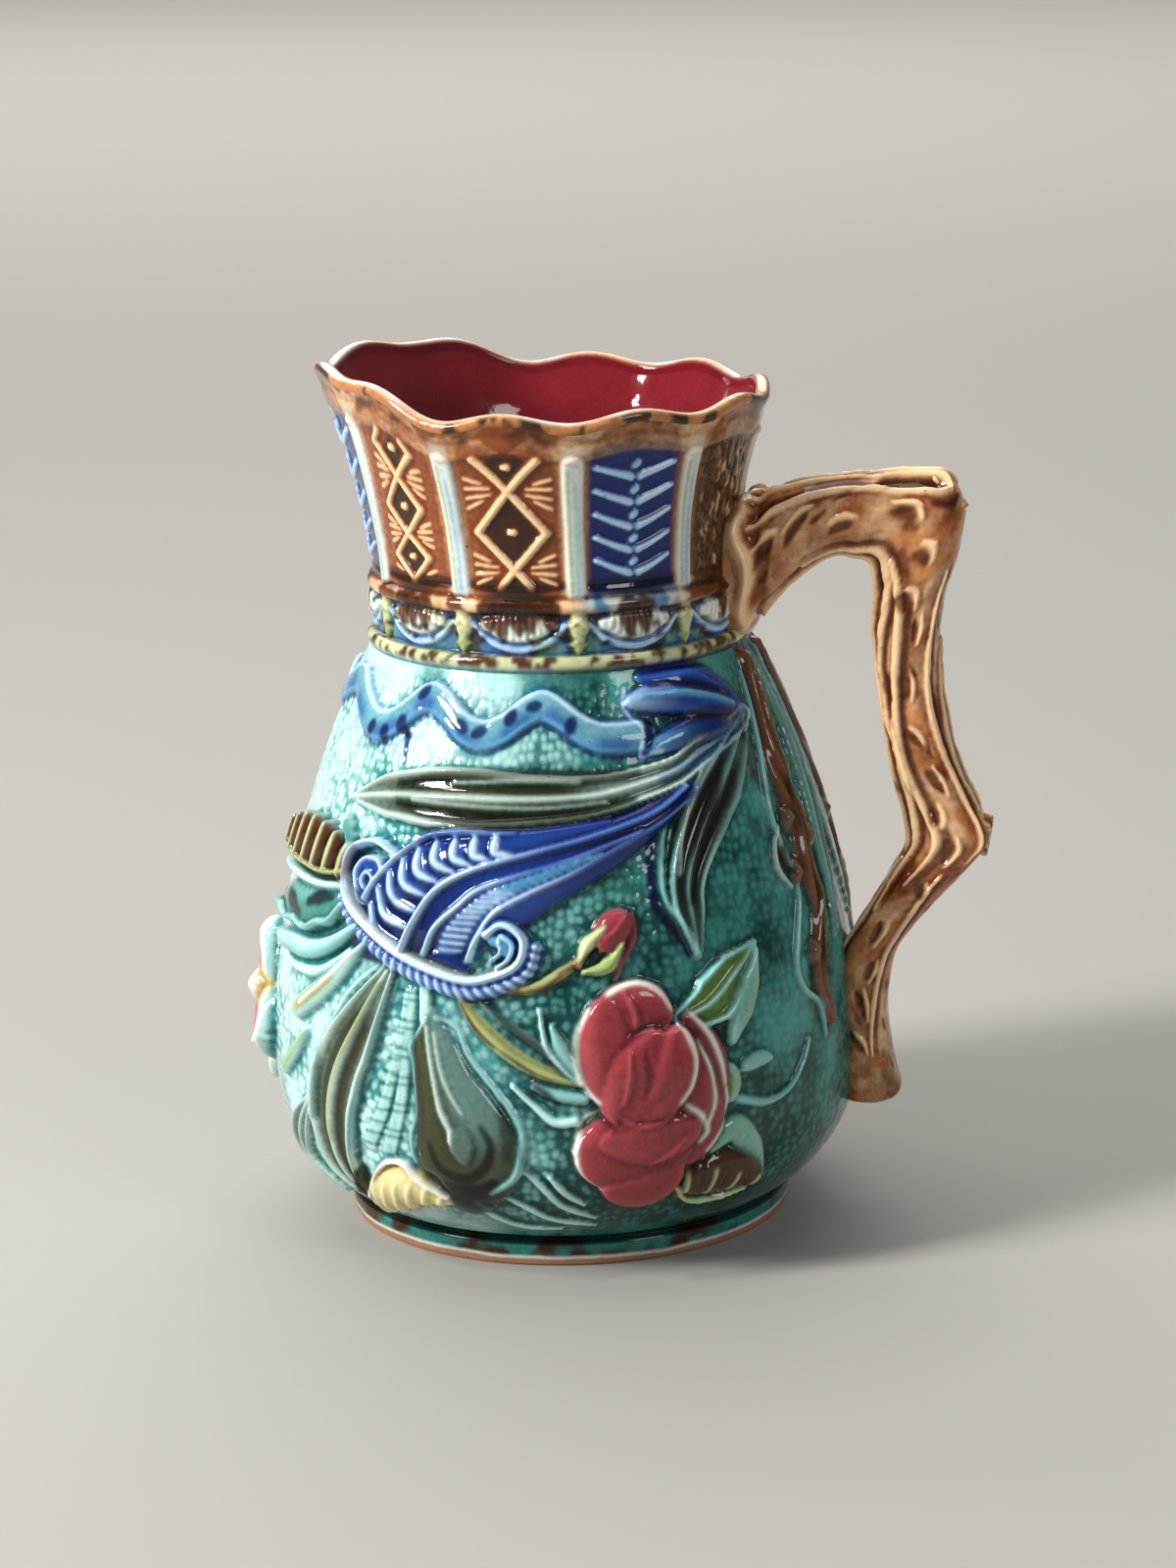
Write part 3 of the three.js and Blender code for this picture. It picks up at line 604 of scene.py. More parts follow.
def carve_shell(side):
    carve(side, [(-119, 88), (-108, 92), (-97, 95.5), (-84, 101.5), (-66, 108.5), (-46, 118.5)],
          [22, 27, 23, 15, 9, 5], [2.2, 3, 3.6, 3.4, 3, 2.2],
          lambda u, v: blend("ink", "cobalt", 0.6 * smooth(u, 0.1, 0.4) - 0.5 * smooth(u, 0.5, 0.8)))
    carve(side, [(-122, 93), (-113, 97.5), (-101, 103.3), (-86, 107.6), (-68, 111.5)],
          [10, 15, 12, 7.5, 4], [2.4, 4, 4.4, 3.8, 2.8],
          lambda u, v: blend("cobalt", "ink",
                             (0.35 + 0.65 * smooth(v * side, 0.1, 0.9)) * smooth(u, 0.3, 0.6)))
    ribs = 10
    starts, ends = evenly(FIRST_RIDGE[:5], ribs), evenly(OUTER_CORD[::-1], ribs)
    for k in range(ribs - 1):
        start, end = starts[k] * 0.9 + ends[k] * 0.1, starts[k] * 0.12 + ends[k] * 0.88
        bow = (start + end) / 2 + np.array([-1.8, -1.6])
        lay(side, [start, bow, end], [0.9, 1.8, 2.0, 1.4], 0.75, "sky")
        tint(side, beside([start, bow, end], 1.7), [0.4, 1.2, 1.2, 0.4], "ink", 0.7, 0.4)
    ticks = 24
    starts, ends = evenly(SECOND_RIDGE[:6], ticks), evenly(LOWER_EDGE[:6], ticks)
    for k in range(1, ticks - 1):
        pair = [starts[k] * 0.72 + ends[k] * 0.28, starts[k] * 0.22 + ends[k] * 0.78]
        lay(side, pair, 0.8, 0.5, "sky" if k < ticks * 0.5 else "sea")
    milled = 30
    starts, ends = evenly(beside(RIM[3:12], -1.4), milled), evenly(beside(RIM[3:12], -4.2), milled)
    carve(side, beside(RIM[3:12], -2.6), [2, 4.4, 4.8, 4.4, 3], 3.1, "cobalt")
    for start, end in zip(starts, ends):
        lay(side, [start, end], 0.95, 0.55, "sky")
    carve(side, [(-98, 79), (-101, 80.6), (-106, 81.5)], [4, 6, 3], 2.4, "ink")
    for path, width, lift in ((OUTER_CORD[::-1], [1.8, 2, 2.1, 2, 1], 4.7),
                              (FIRST_RIDGE, [2.2, 2.4, 2.2, 2, 1.8, 1.4], 5.0),
                              (SECOND_RIDGE, [1.8, 2, 1.8, 1.5, 1.2], 4.3),
                              (LOWER_EDGE, [1.8, 2, 1.9, 1.8, 1.6, 1.2], 3.9)):
        carve(side, path, width, lift, lambda u, v: blend("sky", "cobalt", 0.9 * smooth(u, 0.2, 0.6)),
              bias=0.6)
    carve(side, [(-119.5, 99), (-123.5, 98.6), (-124, 94)], [5, 7, 4], 3.4, "cobalt")
    carve(side, [(-89.5, 83.4), (-90, 85.5), (-92, 86)], [4, 6, 4], 3.6, "sea")
    carve(side, [(-117.4, 98.4), (-119.4, 101), (-122.8, 101), (-125, 97.6), (-124, 93.8)], 1.5, 4.4, "sky")
    carve(side, [(-119.6, 96.4), (-121.6, 97.8), (-122.8, 96), (-122, 94)], 1.3, 4.6, "sky")
    carve(side, [(-91.4, 79.4), (-88.8, 81.8), (-88.2, 85), (-90.4, 87)], 1.1, 4.9, "sky")
    carve(side, [(-92.6, 81), (-90.6, 83), (-90.8, 85.4)], 1.0, 4.9, "sky")
    carve(side, RIM, [2, 2.4, 2.6, 2.8, 2.8, 2.6, 2.6, 2.4], 4.8, "sky", bias=0.6)
    lay(side, beside(RIM[3:11], 1.1), 0.7, 0.35, "cream")


for side in (1, -1):
    carve_shell(side)
print("the shell stands", round(float(belly.rise.max()), 2), "mm off the wall")

# %% [markdown]
# ## Leaves, pod and fan below the shell
#
# A long leaf and a pear-shaped pod hang from the shell. The pod is a half-round swelling with a pale
# double line down its middle and a pool of nearly black glaze where it rests on the yellow fan. Between
# the leaf and the pod the ground shows as a strip of little bricks.

# %% Pod and leaves
def carve_bricks(side):
    for column, path in enumerate(([(-110, 72), (-111, 60), (-113.6, 48), (-115.5, 41), (-119, 33)],
                                   [(-108.6, 72), (-109.4, 60), (-110.6, 48), (-112, 40), (-114.5, 31)])):
        carve(side, path, [2, 2.4, 3, 4, 5], 0.8, "mint", flat, bias=0.8)
        courses = 13
        for k, (angle, height) in enumerate(evenly(path, courses)):
            lift = 1.6 if column and k % 2 else 0
            tint(side, [(angle - 2.4, height + lift), (angle + 2.4, height + lift)], 0.6, "teal", 0.8, 0.3)
        tint(side, beside(path, 1.7), 0.7, "teal", 0.85, 0.3)


def carve_hanging_leaf(side):
    lobe = [(-136, 40), (-142, 31), (-146, 22), (-141, 13)]
    carve(side, lobe, [2, 8, 10, 3], 2.4, leaf_glaze("pale_leaf", "grey_leaf"), leaf_section)
    path = [(-114.5, 76), (-119.8, 64), (-125, 52), (-127.8, 42), (-128.6, 32), (-128, 25), (-124.5, 16.5)]
    carve(side, path, [4, 10, 15.5, 17, 16, 12, 3], 3.3,
          leaf_glaze("pale_leaf", "dark_leaf", 0.1, 1.1, 0.07, 0.62), leaf_section)
    lay(side, [(-116, 73.5), (-121, 62), (-126.4, 50), (-128.6, 40), (-128.6, 32)], [1, 1.2, 1.3, 1.1, 0.7],
        0.6, "sap")
    tint(side, [(-123.5, 24), (-125, 20), (-127.5, 15.5)], [3, 4.5, 3], "black", 0.95)
    tint(side, [(-130, 58), (-132.5, 47), (-133.5, 37)], [2, 3.5, 3], "grey_leaf", 0.8)
    lay(side, [(-117.4, 77), (-124, 70), (-129.4, 60), (-133, 47), (-134.4, 37), (-134.4, 27), (-131, 18)],
        [1, 1.5, 1.5, 1.5, 1.4, 1.2, 0.8], 0.8, "mint")
    lay(side, [(-112.6, 74.5), (-115, 64.5), (-118, 51.5), (-121.4, 41), (-123.2, 31)],
        [1, 1.5, 1.4, 1.4, 0.9], 0.8, "mist")


def pod_glaze(u, v):
    leafy = blend("dark_leaf", "grey_leaf", smooth(v, -0.25, 0.35) * (1 - 0.8 * smooth(u, 0.6, 0.78)))
    return blend(leafy, "black", smooth(u, 0.86, 0.97))


def carve_pod(side):
    carve(side, [(-105.8, 73), (-105.5, 66)], 3.4, 2, "mint", flat)
    path = [(-104.6, 67), (-103.6, 60), (-101.8, 52), (-99.5, 44), (-97.8, 36), (-97.4, 28), (-98.5, 22.5)]
    glaze = (lambda u, v: pod_glaze(u, v * side))
    carve(side, path, [5, 12, 15.5, 21, 26.5, 27, 14], [2, 2.8, 3.4, 3.6, 3.5, 3.3, 2.2], glaze)
    lay(side, [(-105, 66), (-108.3, 60), (-107.8, 53.5), (-107.3, 44), (-108.9, 36.5), (-108.6, 30)],
        [1, 1.4, 1.3, 1.3, 1.5, 1], 1.0, "mist")
    lay(side, [(-103, 67), (-99, 64.5), (-96.6, 58), (-91.4, 50), (-87.3, 42), (-86.8, 35), (-88.5, 29),
               (-93, 25.6)], [1, 1.5, 1.7, 1.9, 2.2, 2.4, 2.2, 1.4], 1.0, "mist")
    tint(side, [(-90.5, 46), (-89.4, 40), (-89.6, 34)], [2, 3.4, 2], "dark_leaf", 0.7, 0.9)
    ball = [(-104.2, 36.4), (-102.4, 31), (-98, 29), (-94, 31.6), (-92.3, 37), (-94, 42)]
    tint(side, ball, [1.2, 2, 2.6, 2.4, 2, 1], "black", 0.9, 0.6)
    lay(side, [(-99.6, 36), (-97.4, 37), (-95.4, 37)], oval(10), 0.9,
        lambda u, v: blend("dark_leaf", "grey_leaf", 0.5))
    tint(side, [(-106, 27.5), (-101, 25.2), (-95.5, 25.6), (-92.4, 28)], [2.4, 4.6, 5, 2.6], "black", 1,
         0.8)
    tint(side, [(-107.5, 62), (-106.4, 52), (-106.3, 42), (-107, 33)], [1.4, 2.4, 3, 2], "black", 0.5, 1)
    lay(side, [(-104.9, 65.5), (-104, 60), (-102.6, 52), (-101.4, 45.5), (-99.8, 41), (-99.6, 38)],
        [0.8, 1, 1.1, 1.3, 1.8, 1.4], 0.8, "pale_leaf")
    lay(side, [(-103.2, 63.5), (-101.5, 55), (-99.6, 49.5), (-97.4, 45)], [0.6, 0.8, 0.8, 0.5], 0.5,
        "pale_leaf")


def carve_fan(side):
    carve(side, [(-124, 13.5), (-118, 19), (-111, 23), (-103, 21)], [6, 13, 14, 4], [2, 4, 4.2, 2.4],
          "yellow")
    for k in range(6):
        foot, top = (-122 + 3.2 * k, 11.5 + 1.0 * k), (-119.5 + 3.2 * k, 25.5 - abs(k - 2.5) * 0.8)
        lay(side, [foot, top], [0.8, 2, 1.6], 0.55, "yellow")
        tint(side, [(foot[0] + 1.6, foot[1] + 2), (top[0] + 1.6, top[1] - 3)], 0.8, "honey", 0.5, 0.5)
    carve(side, [(-123.5, 18), (-116.4, 28), (-111.4, 30), (-108, 26.6), (-102.4, 22.4)], 1.4, 3.4, "cream")


for side in (1, -1):
    carve_bricks(side)
    carve_hanging_leaf(side)
    carve_fan(side)
    carve_pod(side)
print("the pod stands", round(float(belly.rise[belly.height < 60].max()), 2), "mm off the wall")

# %% [markdown]
# ## The rose
#
# The rose is modelled petal over petal. Each petal is a dome with a thin pale rim, where the crimson
# glaze has run off the sharp edge. The petals are laid in the order of a real flower, the outer ones
# first, so each one overlaps the last.

# %% Rose
def carve_petal(side, path, width, lift, shade, rim):
    # Painted shade: each petal's crimson is darkened towards the bud glaze by its shade value and more so
    # at its edges, to round the petals and darken the gaps between them.
    glaze = (lambda u, v: blend("rose", "bud", np.clip(shade + 0.75 * v ** 4, 0, 1)))
    dome = (lambda u, v: np.clip(1 - v * v, 0, 1) ** 0.4 * (0.82 + 0.18 * np.sin(math.pi * u))
            - 0.05 * np.cos(5 * v))
    carve(side, path, oval(width), lift, glaze, dome, bias=0.05)
    if rim:
        lay(side, rim, [0.6, 1.1, 1.25, 1.1, 0.6], 0.4, "cream")


def carve_rose_leaves(side):
    carve(side, [(-56, 66), (-50, 68.5), (-44.5, 74), (-38, 80.4)], [5, 13, 11, 1.2], 2.5,
          leaf_glaze("turquoise", "leaf_green", 0.02, 0.96, 0.02, 0.75), leaf_section)
    carve(side, [(-46, 58.6), (-44, 64), (-41, 71), (-38.2, 79)], [3, 8.5, 7, 1], 2.6,
          lambda u, v: blend("turquoise", "leaf_green", 0.25 + 0.3 * smooth(-v * side, 0, 1)))
    carve(side, [(-47, 53.4), (-46, 48.6), (-47, 43.6)], oval(5), 2.2, leaf_glaze("mist", "sap"))
    carve(side, [(-44.4, 51), (-40, 52.4), (-36.4, 52.2)], oval(4.6), 1.8, "mist")
    tint(side, [(-44, 48), (-39, 46.6), (-34, 47)], [1, 4.4, 2], "teal", 0.9, 1.1)
    carve(side, [(-45, 44), (-38.3, 41.4), (-32.2, 42.9), (-27.7, 48.2), (-25.2, 53.5)],
          [2.6, 2.4, 1.6, 1.2, 0.8], 1.5, "mist")
    carve(side, [(-51, 33), (-46, 36.5), (-41.5, 31), (-37.8, 24)], [3, 8, 7, 2], 2.2,
          lambda u, v: blend("turquoise", "leaf_green", 0.35))
    carve(side, [(-57, 24.5), (-50, 26), (-44, 25.6), (-38, 22.6)], oval(12.5), 3.4,
          lambda u, v: blend("umber", "sap", smooth(-v * side, 0.45, 0.95)))
    for k in range(11):
        foot = (-56.6 + 1.75 * k, 20.4 + 0.2 * k)
        top = (foot[0] + 1.2, 30.4 - 0.7 * k)
        lay(side, [foot, top], 0.8, 0.6, "umber" if k % 3 else "moss")
    carve(side, [(-58, 25), (-54.5, 20), (-48, 18.8), (-41, 20.4)], 1.5, 2.8, "moss")
    carve(side, [(-81, 66), (-79.4, 61), (-77, 56), (-75.6, 52.6)], [1.2, 4, 4, 1], 1.9, "mist")
    carve(side, [(-83.3, 70), (-82, 61.3), (-78.8, 55.6), (-75.6, 52.3)], [1, 1.5, 1.5, 1], 1.8, "mint")


def carve_rose(side):
    petals = [
        ([(-57, 34), (-52.6, 43), (-52.2, 55), (-56, 67)], 13.5, 2.9, 0.6,
         [(-55, 67.4), (-51.4, 61.6), (-49.4, 55), (-48.6, 49)]),
        ([(-60, 31), (-54.6, 36), (-52.6, 44), (-54, 54)], 12, 3.6, 0.4,
         [(-52.6, 33.6), (-48.9, 38.8), (-48.0, 43.4), (-48.4, 48)]),
        ([(-73, 64.5), (-66, 68.6), (-58, 67)], 15.5, 3.8, 0.1,
         [(-72.6, 69.6), (-70, 73.6), (-65.4, 75.6), (-61, 73.6), (-58.6, 68.6)]),
        ([(-69.6, 44.5), (-70.4, 58), (-71, 73)], 15, 4.5, 0,
         [(-71.2, 46.6), (-75, 51), (-76.6, 57.6), (-76.4, 64), (-74.2, 70)]),
        ([(-77.6, 36), (-67, 35), (-55.5, 36)], 22, 4.7, 0.1,
         [(-72, 46), (-75.6, 43), (-77, 36.7), (-76, 30), (-72.4, 26)]),
        ([(-72.5, 26.5), (-64, 26.6), (-57, 31)], 12.5, 5.2, 0.15, ()),
        ([(-58.4, 38), (-54.6, 47), (-55, 60)], 10, 5.0, 0.3,
         [(-52.8, 40), (-51.2, 46), (-51.8, 53), (-54, 60.4)]),
        ([(-73, 38.5), (-62.5, 38.5), (-54, 41)], 15, 6.0, 0,
         [(-54.3, 36.3), (-52.8, 39), (-54.3, 43), (-57.6, 46.6)]),
        ([(-69.6, 42), (-66, 52), (-61, 64.5)], 19, 6.4, 0, ()),
        ([(-66, 44), (-60, 52), (-57.8, 65)], 15, 7.0, 0.05,
         [(-58.6, 47.2), (-56.4, 51), (-55.4, 56.6), (-56.6, 62.6), (-58, 66)]),
    ]
    for petal in petals:
        carve_petal(side, *petal)
    for path in ([(-67.2, 60.4), (-67.6, 53), (-68.6, 47.8)],
                 [(-70.4, 46.4), (-67, 43), (-63, 42.6), (-59, 44.8)],
                 [(-67.6, 74), (-65.8, 69), (-65.6, 65)], [(-64, 33), (-60, 35.4), (-57.4, 39)]):
        lay(side, path, [0.5, 1.8, 0.6], 0.6, "rose")
    for path in ([(-60, 66.5), (-64.5, 64.6), (-68.4, 61)], [(-71, 46.5), (-69.4, 44.6), (-70.4, 41)],
                 [(-64.6, 60), (-64.2, 54), (-65, 49)]):
        tint(side, path, [0.6, 1.6, 0.8], "bud", 0.8, 0.6)


def carve_stems(side):
    carve(side, [(-98.4, 72), (-95, 66.4), (-90.4, 61.2), (-85.8, 57.2), (-80.4, 54), (-75.6, 52)],
          [3, 4.4, 4.6, 4.4, 4, 2], 2.3, "sap", lambda u, v: bar(u, v) * (0.8 + 0.2 * np.cos(6 * v)))
    carve(side, [(-95.6, 72.4), (-89.5, 66.6), (-84, 61.8), (-78.6, 55.4), (-75, 51.6)],
          [1.4, 2.4, 2.4, 2, 1], 1.5, "grey_leaf")
    tint(side, [(-94, 72), (-88.4, 65.4), (-82.6, 60), (-77, 53)], [1.6, 2.2, 2, 1], "black", 0.8, 0.5)
    tint(side, [(-98, 70.6), (-95.4, 65), (-92, 61)], [1, 1.4, 0.7], "brown", 0.9, 0.4)
    tint(side, [(-90, 60), (-84, 54.6)], [0.5, 1.1, 0.5], "black", 0.7, 0.4)
    carve(side, [(-84.2, 51.8), (-80.6, 49.8), (-75.3, 48.5)], [2.4, 3.6, 3.4], 2.2, "mist")
    tint(side, [(-84.6, 52.4), (-82, 50), (-80, 47.4)], [1.4, 2, 1], "black", 0.9, 0.4)
    carve(side, [(-88.4, 51.6), (-84.6, 47.2), (-80.7, 43), (-76.9, 43)], [1.2, 1.8, 2.6, 3], 1.9, "mint")
    carve(side, [(-92.4, 75.6), (-87.6, 74.6), (-83.4, 75.4), (-79.4, 78), (-75.4, 81)],
          [2.4, 3, 3.4, 3, 2.4], 2.0, "sap")
    for path in ([(-85.4, 74.2), (-82, 75), (-79, 78)], [(-79.4, 78.4), (-76, 80.4), (-74.6, 82)],
                 [(-88, 74), (-86, 74)]):
        tint(side, path, [0.7, 1.5, 0.6], "brown", 0.95, 0.4)
    carve(side, [(-71.5, 83), (-68.4, 88), (-65.6, 92)], oval(9), 3.3,
          lambda u, v: blend("bud", "rose", 0.4))
    carve(side, [(-64.6, 91), (-64.6, 86), (-67.4, 80), (-68.6, 76.4)], [1.4, 2, 1.8, 0.8], 2.2, "bud")
    carve(side, [(-75.6, 80), (-73.8, 84.6), (-70.4, 88.6)], [1.6, 4, 1.6], 3.3, "moss")
    carve(side, [(-74.6, 78.6), (-70.4, 79.6), (-67, 84.6)], [1.6, 4.4, 1.4], 3.5,
          leaf_glaze("moss", "leaf_green", -0.1, 1.1, 0, 0.6))
    tint(side, [(-76.4, 79.6), (-73.6, 82.4), (-70.8, 84.4)], [1.2, 1.3, 0.6], "brown", 0.9, 0.4)
    lay(side, [(-66.6, 90.4), (-68.6, 87.6), (-70.6, 86)], [0.5, 1, 0.5], 0.5, "rose")


def carve_waves(side):
    for path in ([(-98, 21.4), (-94.4, 16.4), (-88.5, 13.2), (-80, 12.4)],
                 [(-91, 23), (-87.3, 20), (-81.7, 15.9), (-72.8, 13.4)],
                 [(-86.6, 30), (-83.1, 25.2), (-79.5, 20), (-72.9, 16)],
                 [(-82.1, 28.6), (-79, 24), (-75.4, 20.4)]):
        carve(side, path, [1, 2.2, 2, 1], 1.2, "mint")
        tint(side, beside(path, 1.7), [0.6, 2, 0.8], "teal", 0.9, 0.5)


for side in (1, -1):
    carve_waves(side)
    carve_stems(side)
    carve_rose_leaves(side)
    carve_rose(side)
print("the rose stands", round(float(belly.rise[belly.height < 75].max()), 2), "mm off the wall")

# %% [markdown]
# ## Brown lily, spout flower and branch
#
# At the side of the spout a brown lily opens downwards in tiers, like a bell over a skirt. Under the spout
# itself sits one flower in full relief, seen here only from its edge. On the handle side a brown branch
# runs down the wall between pale, wavy strips.

# %% Side lily, spout flower and branch
def carve_side_lily(side):
    carve(side, [(-163, 73), (-146.4, 75.2), (-138, 76), (-130.8, 79), (-123, 85)], [1, 5.5, 6.5, 5, 3],
          [1.5, 3.6, 3.6, 3.6], lambda u, v: blend("turquoise", "mint", smooth(v * side, -0.4, 0.8)))
    carve(side, [(-147, 71.4), (-142.3, 70.6), (-134.3, 71.6), (-128.4, 75.4), (-124.6, 79)],
          [2, 3.6, 3.6, 3, 2], 2.6, "mint")
    carve(side, [(-161, 84), (-148, 84.6), (-138, 86), (-129, 89)], [3, 12, 13, 8], [1.4, 3, 3, 3],
          lambda u, v: blend("teal", "turquoise", smooth(v * side, -0.2, 0.8)))
    for path in ([(-152, 86.6), (-147, 85), (-143, 83.6)], [(-139.6, 87), (-135.7, 89), (-131, 90)],
                 [(-160, 85), (-156, 84.6)]):
        tint(side, path, [2.4, 4.2, 1.6], "black", 0.85, 0.7)
    lip = [(-163, 81), (-157, 81.4), (-151, 80.2), (-146, 81.4), (-140.4, 80.6), (-136, 83), (-131.6, 84.4),
           (-128, 89)]
    carve(side, lip, [2, 2.6, 2.2, 2.8, 2.2, 2.6, 2], 3.9, "mist")
    carve(side, [(-163, 91.6), (-147.2, 91.6), (-137.3, 92), (-128.6, 93.4)], [1, 3, 3, 3], 3.4, "mint")
    tint(side, [(-161, 93.6), (-147, 93.6), (-137, 93.6), (-129, 94.8)], 1.5, "black", 0.95, 0.4)
    flutes = 7
    for k in range(flutes):
        angle = -161 + 31 * k / (flutes - 1)
        arch = math.sin(math.pi * (k + 1) / (flutes + 1))
        path = [(angle + 1.4, 101 + 6 * arch), (angle + 0.2, 100), (angle - 0.6, 95 - 0.8 * arch)]
        carve(side, path, oval(6.6), 4.2, leaf_glaze("moss", "umber", -0.1, 1.1, 0.12, 1.5), bias=0.4)
        tint(side, [(spot[0] + 2.6, spot[1]) for spot in path], [0.6, 1.8, 1.2], "brown", 0.75, 0.7)
    carve(side, [(-163, 97), (-154, 95), (-146, 94.8), (-136.3, 94.8), (-128.4, 96.6)],
          [0.6, 1.8, 1.8, 1.8], 4.6, "sap")
    carve(side, [(-133, 108), (-130, 104.4), (-128, 100)], [1, 2, 1], 4, "teal")
    carve(side, [(-121, 81), (-126.8, 74), (-132.2, 68.2), (-141, 60.6)], [2, 5.4, 6.4, 6], 3.0,
          leaf_glaze("mint", "sap", 0.3, 1.1, -0.1, 0.5))
    lay(side, [(-123, 79), (-128.8, 72), (-138, 63)], 1, 0.7, "cream")
    carve(side, [(-137, 56.6), (-141.3, 50.7), (-148, 43)], [2, 4.4, 4], 2.2,
          leaf_glaze("mint", "leaf_green", 0, 1.1, 0, 0.5))


def carve_spout_flower(patch):
    centre = 52.0
    petals = 5

    def spot(reach, bearing):
        return (180 + reach * math.sin(bearing) / np.radians(BELLY_RADIUS),
                centre + reach * math.cos(bearing))

    for k in range(petals):
        bearing = 2 * math.pi * (k + 0.5) / petals
        path = [spot(reach, bearing) for reach in (6, 15, 23.5)]
        stroke(patch, path, oval(22), 5.2,
               lambda u, v: blend("yellow", "mist", smooth(u + 0.2 * v * v, 0.55, 0.95)))
        rim = [spot(22 - 14 * a * a, bearing + a) for a in (-0.5, -0.25, 0, 0.25, 0.5)]
        stroke(patch, rim, [0.8, 1.6, 1.8, 1.6, 0.8], 0.6, "pearl", lies_on=True)
        for lean in (-0.22, 0.06, 0.3):
            line(patch, [spot(12, bearing + lean), spot(19, bearing + lean)], [2.2, 0.5],
                 ("brown", "honey")[lean > 0], 0.7, 0.5)
    for k in range(petals):
        bearing = 2 * math.pi * k / petals
        path = [spot(reach, bearing) for reach in (1, 8, 15.5)]
        stroke(patch, path, oval(14.5), 7.2, lambda u, v: blend("pink", "rose", 0.25 + 0.5 * v * v))
        rim = [spot(14.6 - 9 * a * a, bearing + a) for a in (-0.4, 0, 0.4)]
        stroke(patch, rim, [0.6, 1.4, 0.6], 0.5, "cream", lies_on=True)
        line(patch, [spot(3, bearing), spot(10, bearing + 0.1)], [1.6, 0.5], "bud", 0.6, 0.5)
    stroke(patch, [(178.6, centre), (180, centre + 0.3), (181.4, centre)], oval(5), 8.4, "honey")


BRANCH = [(-10, 147), (-12.4, 134), (-15.6, 121), (-16, 110), (-15.4, 103), (-16.6, 94), (-15.2, 84),
          (-17.8, 75), (-19.6, 66), (-17.4, 56)]


def carve_branch(side):
    pale = [(-16, 140), (-20, 126), (-23, 116), (-24.6, 108), (-24, 101), (-22.4, 93), (-22, 87),
            (-24.6, 79), (-26.8, 71.5), (-25.2, 65.6), (-21, 60.8), (-19, 52)]
    carve(side, pale, [0.8, 1.6, 2, 2.4, 2, 2, 1.8, 2.2, 2, 1.6, 1], 1.3, "mist")
    carve(side, [(-4, 144), (-2, 126), (-3.5, 110), (-6, 98), (-7, 86), (-9, 74)], [2, 8, 10, 9, 6, 2], 1.8,
          leaf_glaze("grey_leaf", "mist", 0, 1, -0.1, 0.6), leaf_section)
    tint(side, [(-27, 130), (-26, 120), (-24, 112)], [1, 2.4, 1], "black", 0.5, 1)
    carve(side, BRANCH, [5, 5.6, 6.6, 8.4, 8.6, 7.6, 7, 6, 5.6, 4.6], 2.7,
          lambda u, v: blend("brown", "bark", 0.25 + 0.5 * smooth(np.sin(11 * u) + v, 0.2, 1.2)),
          lambda u, v: bar(u, v) * (0.82 + 0.18 * np.cos(7 * v + 5 * np.sin(9 * u))))
    for angle, height in ((-19.4, 105), (-21.6, 92.4), (-12, 99), (-20.6, 73)):
        spot = [(angle + 1.6, height + 3.6), (angle, height), (angle + 1, height - 3)]
        carve(side, spot, oval(5), [0.6, 3.0, 0.6], lambda u, v: blend("bark", "umber", 0.3 + 0.6 * v * v))
    for path in ([(-15, 118), (-16.8, 108), (-15, 98)], [(-17, 94), (-15.4, 84), (-18.4, 74), (-18.4, 62)]):
        tint(side, path, [0.8, 2.4, 0.8], "umber", 0.85, 0.7)
    for path in ([(-10.6, 140), (-12.4, 124), (-13.2, 106), (-13, 92)],
                 [(-14.2, 88), (-16.4, 76), (-17, 62)]):
        lay(side, path, [0.5, 1.1, 0.5], 0.4, "bark")
    carve(side, [(-23, 104.6), (-26.4, 100.6), (-27, 95), (-23.4, 89.6)], [0.7, 1.5, 1.5, 0.7], 1.6,
          "pale_leaf")
    tint(side, [(-22.8, 101), (-24.4, 97), (-22.8, 92.4)], [1, 3, 1], "umber", 0.85, 0.7)


for side in (1, -1):
    carve_side_lily(side)
    carve_branch(side)
carve_spout_flower(belly)
belly.rise *= (1 - smooth(belly.height, 142.5, 145))[:, None] * smooth(
    belly.height, FOOT_HEIGHT, FOOT_HEIGHT + 2.5)[:, None]
print("the flower under the spout stands", round(float(belly.rise.max()), 2), "mm off the wall")

# %% [markdown]
# ## Turning a patch into a mesh
#
# A grid becomes a mesh by giving every spot its place in space and joining neighbours with four-sided
# faces. Glaze is mirror-smooth, so the normals are worked out on the whole grid before it is cut into
# pieces, and no edge shows where one piece ends and the next begins. Deep places are found by comparing the
# relief with a blurred copy of itself: where the clay lies lower than its surroundings, glaze collects.

# %% Meshes from grids
def wall_places(patch, neck=True):
    angle = np.radians(patch.angles)[None, :]
    radius = patch.radius[:, None] + patch.rise * patch.out[:, None]
    height = patch.height[:, None] + patch.rise * patch.up[:, None]
    places = np.stack([radius * np.cos(angle), radius * np.sin(angle), height + 0 * angle], -1)
    return shape_neck(places) if neck else places


def grid_normals(places):
    across = np.roll(places, -1, 1) - np.roll(places, 1, 1)
    normals = np.cross(across, np.gradient(places, axis=0))
    return normals / np.maximum(np.linalg.norm(normals, axis=-1, keepdims=True), 1e-9)


def pools(rise, fine=1.3, wide=4.0):
    return 0.5 * np.tanh(2.2 * (blur(rise, fine) - rise)) + 0.5 * np.tanh(0.9 * (blur(rise, wide) - rise))


def soften(patch, cells=0.8):
    patch.rise = blur(patch.rise, cells)
    for field in (patch.thin, patch.deep):
        for k in range(3):
            field[..., k] = blur(field[..., k], cells)


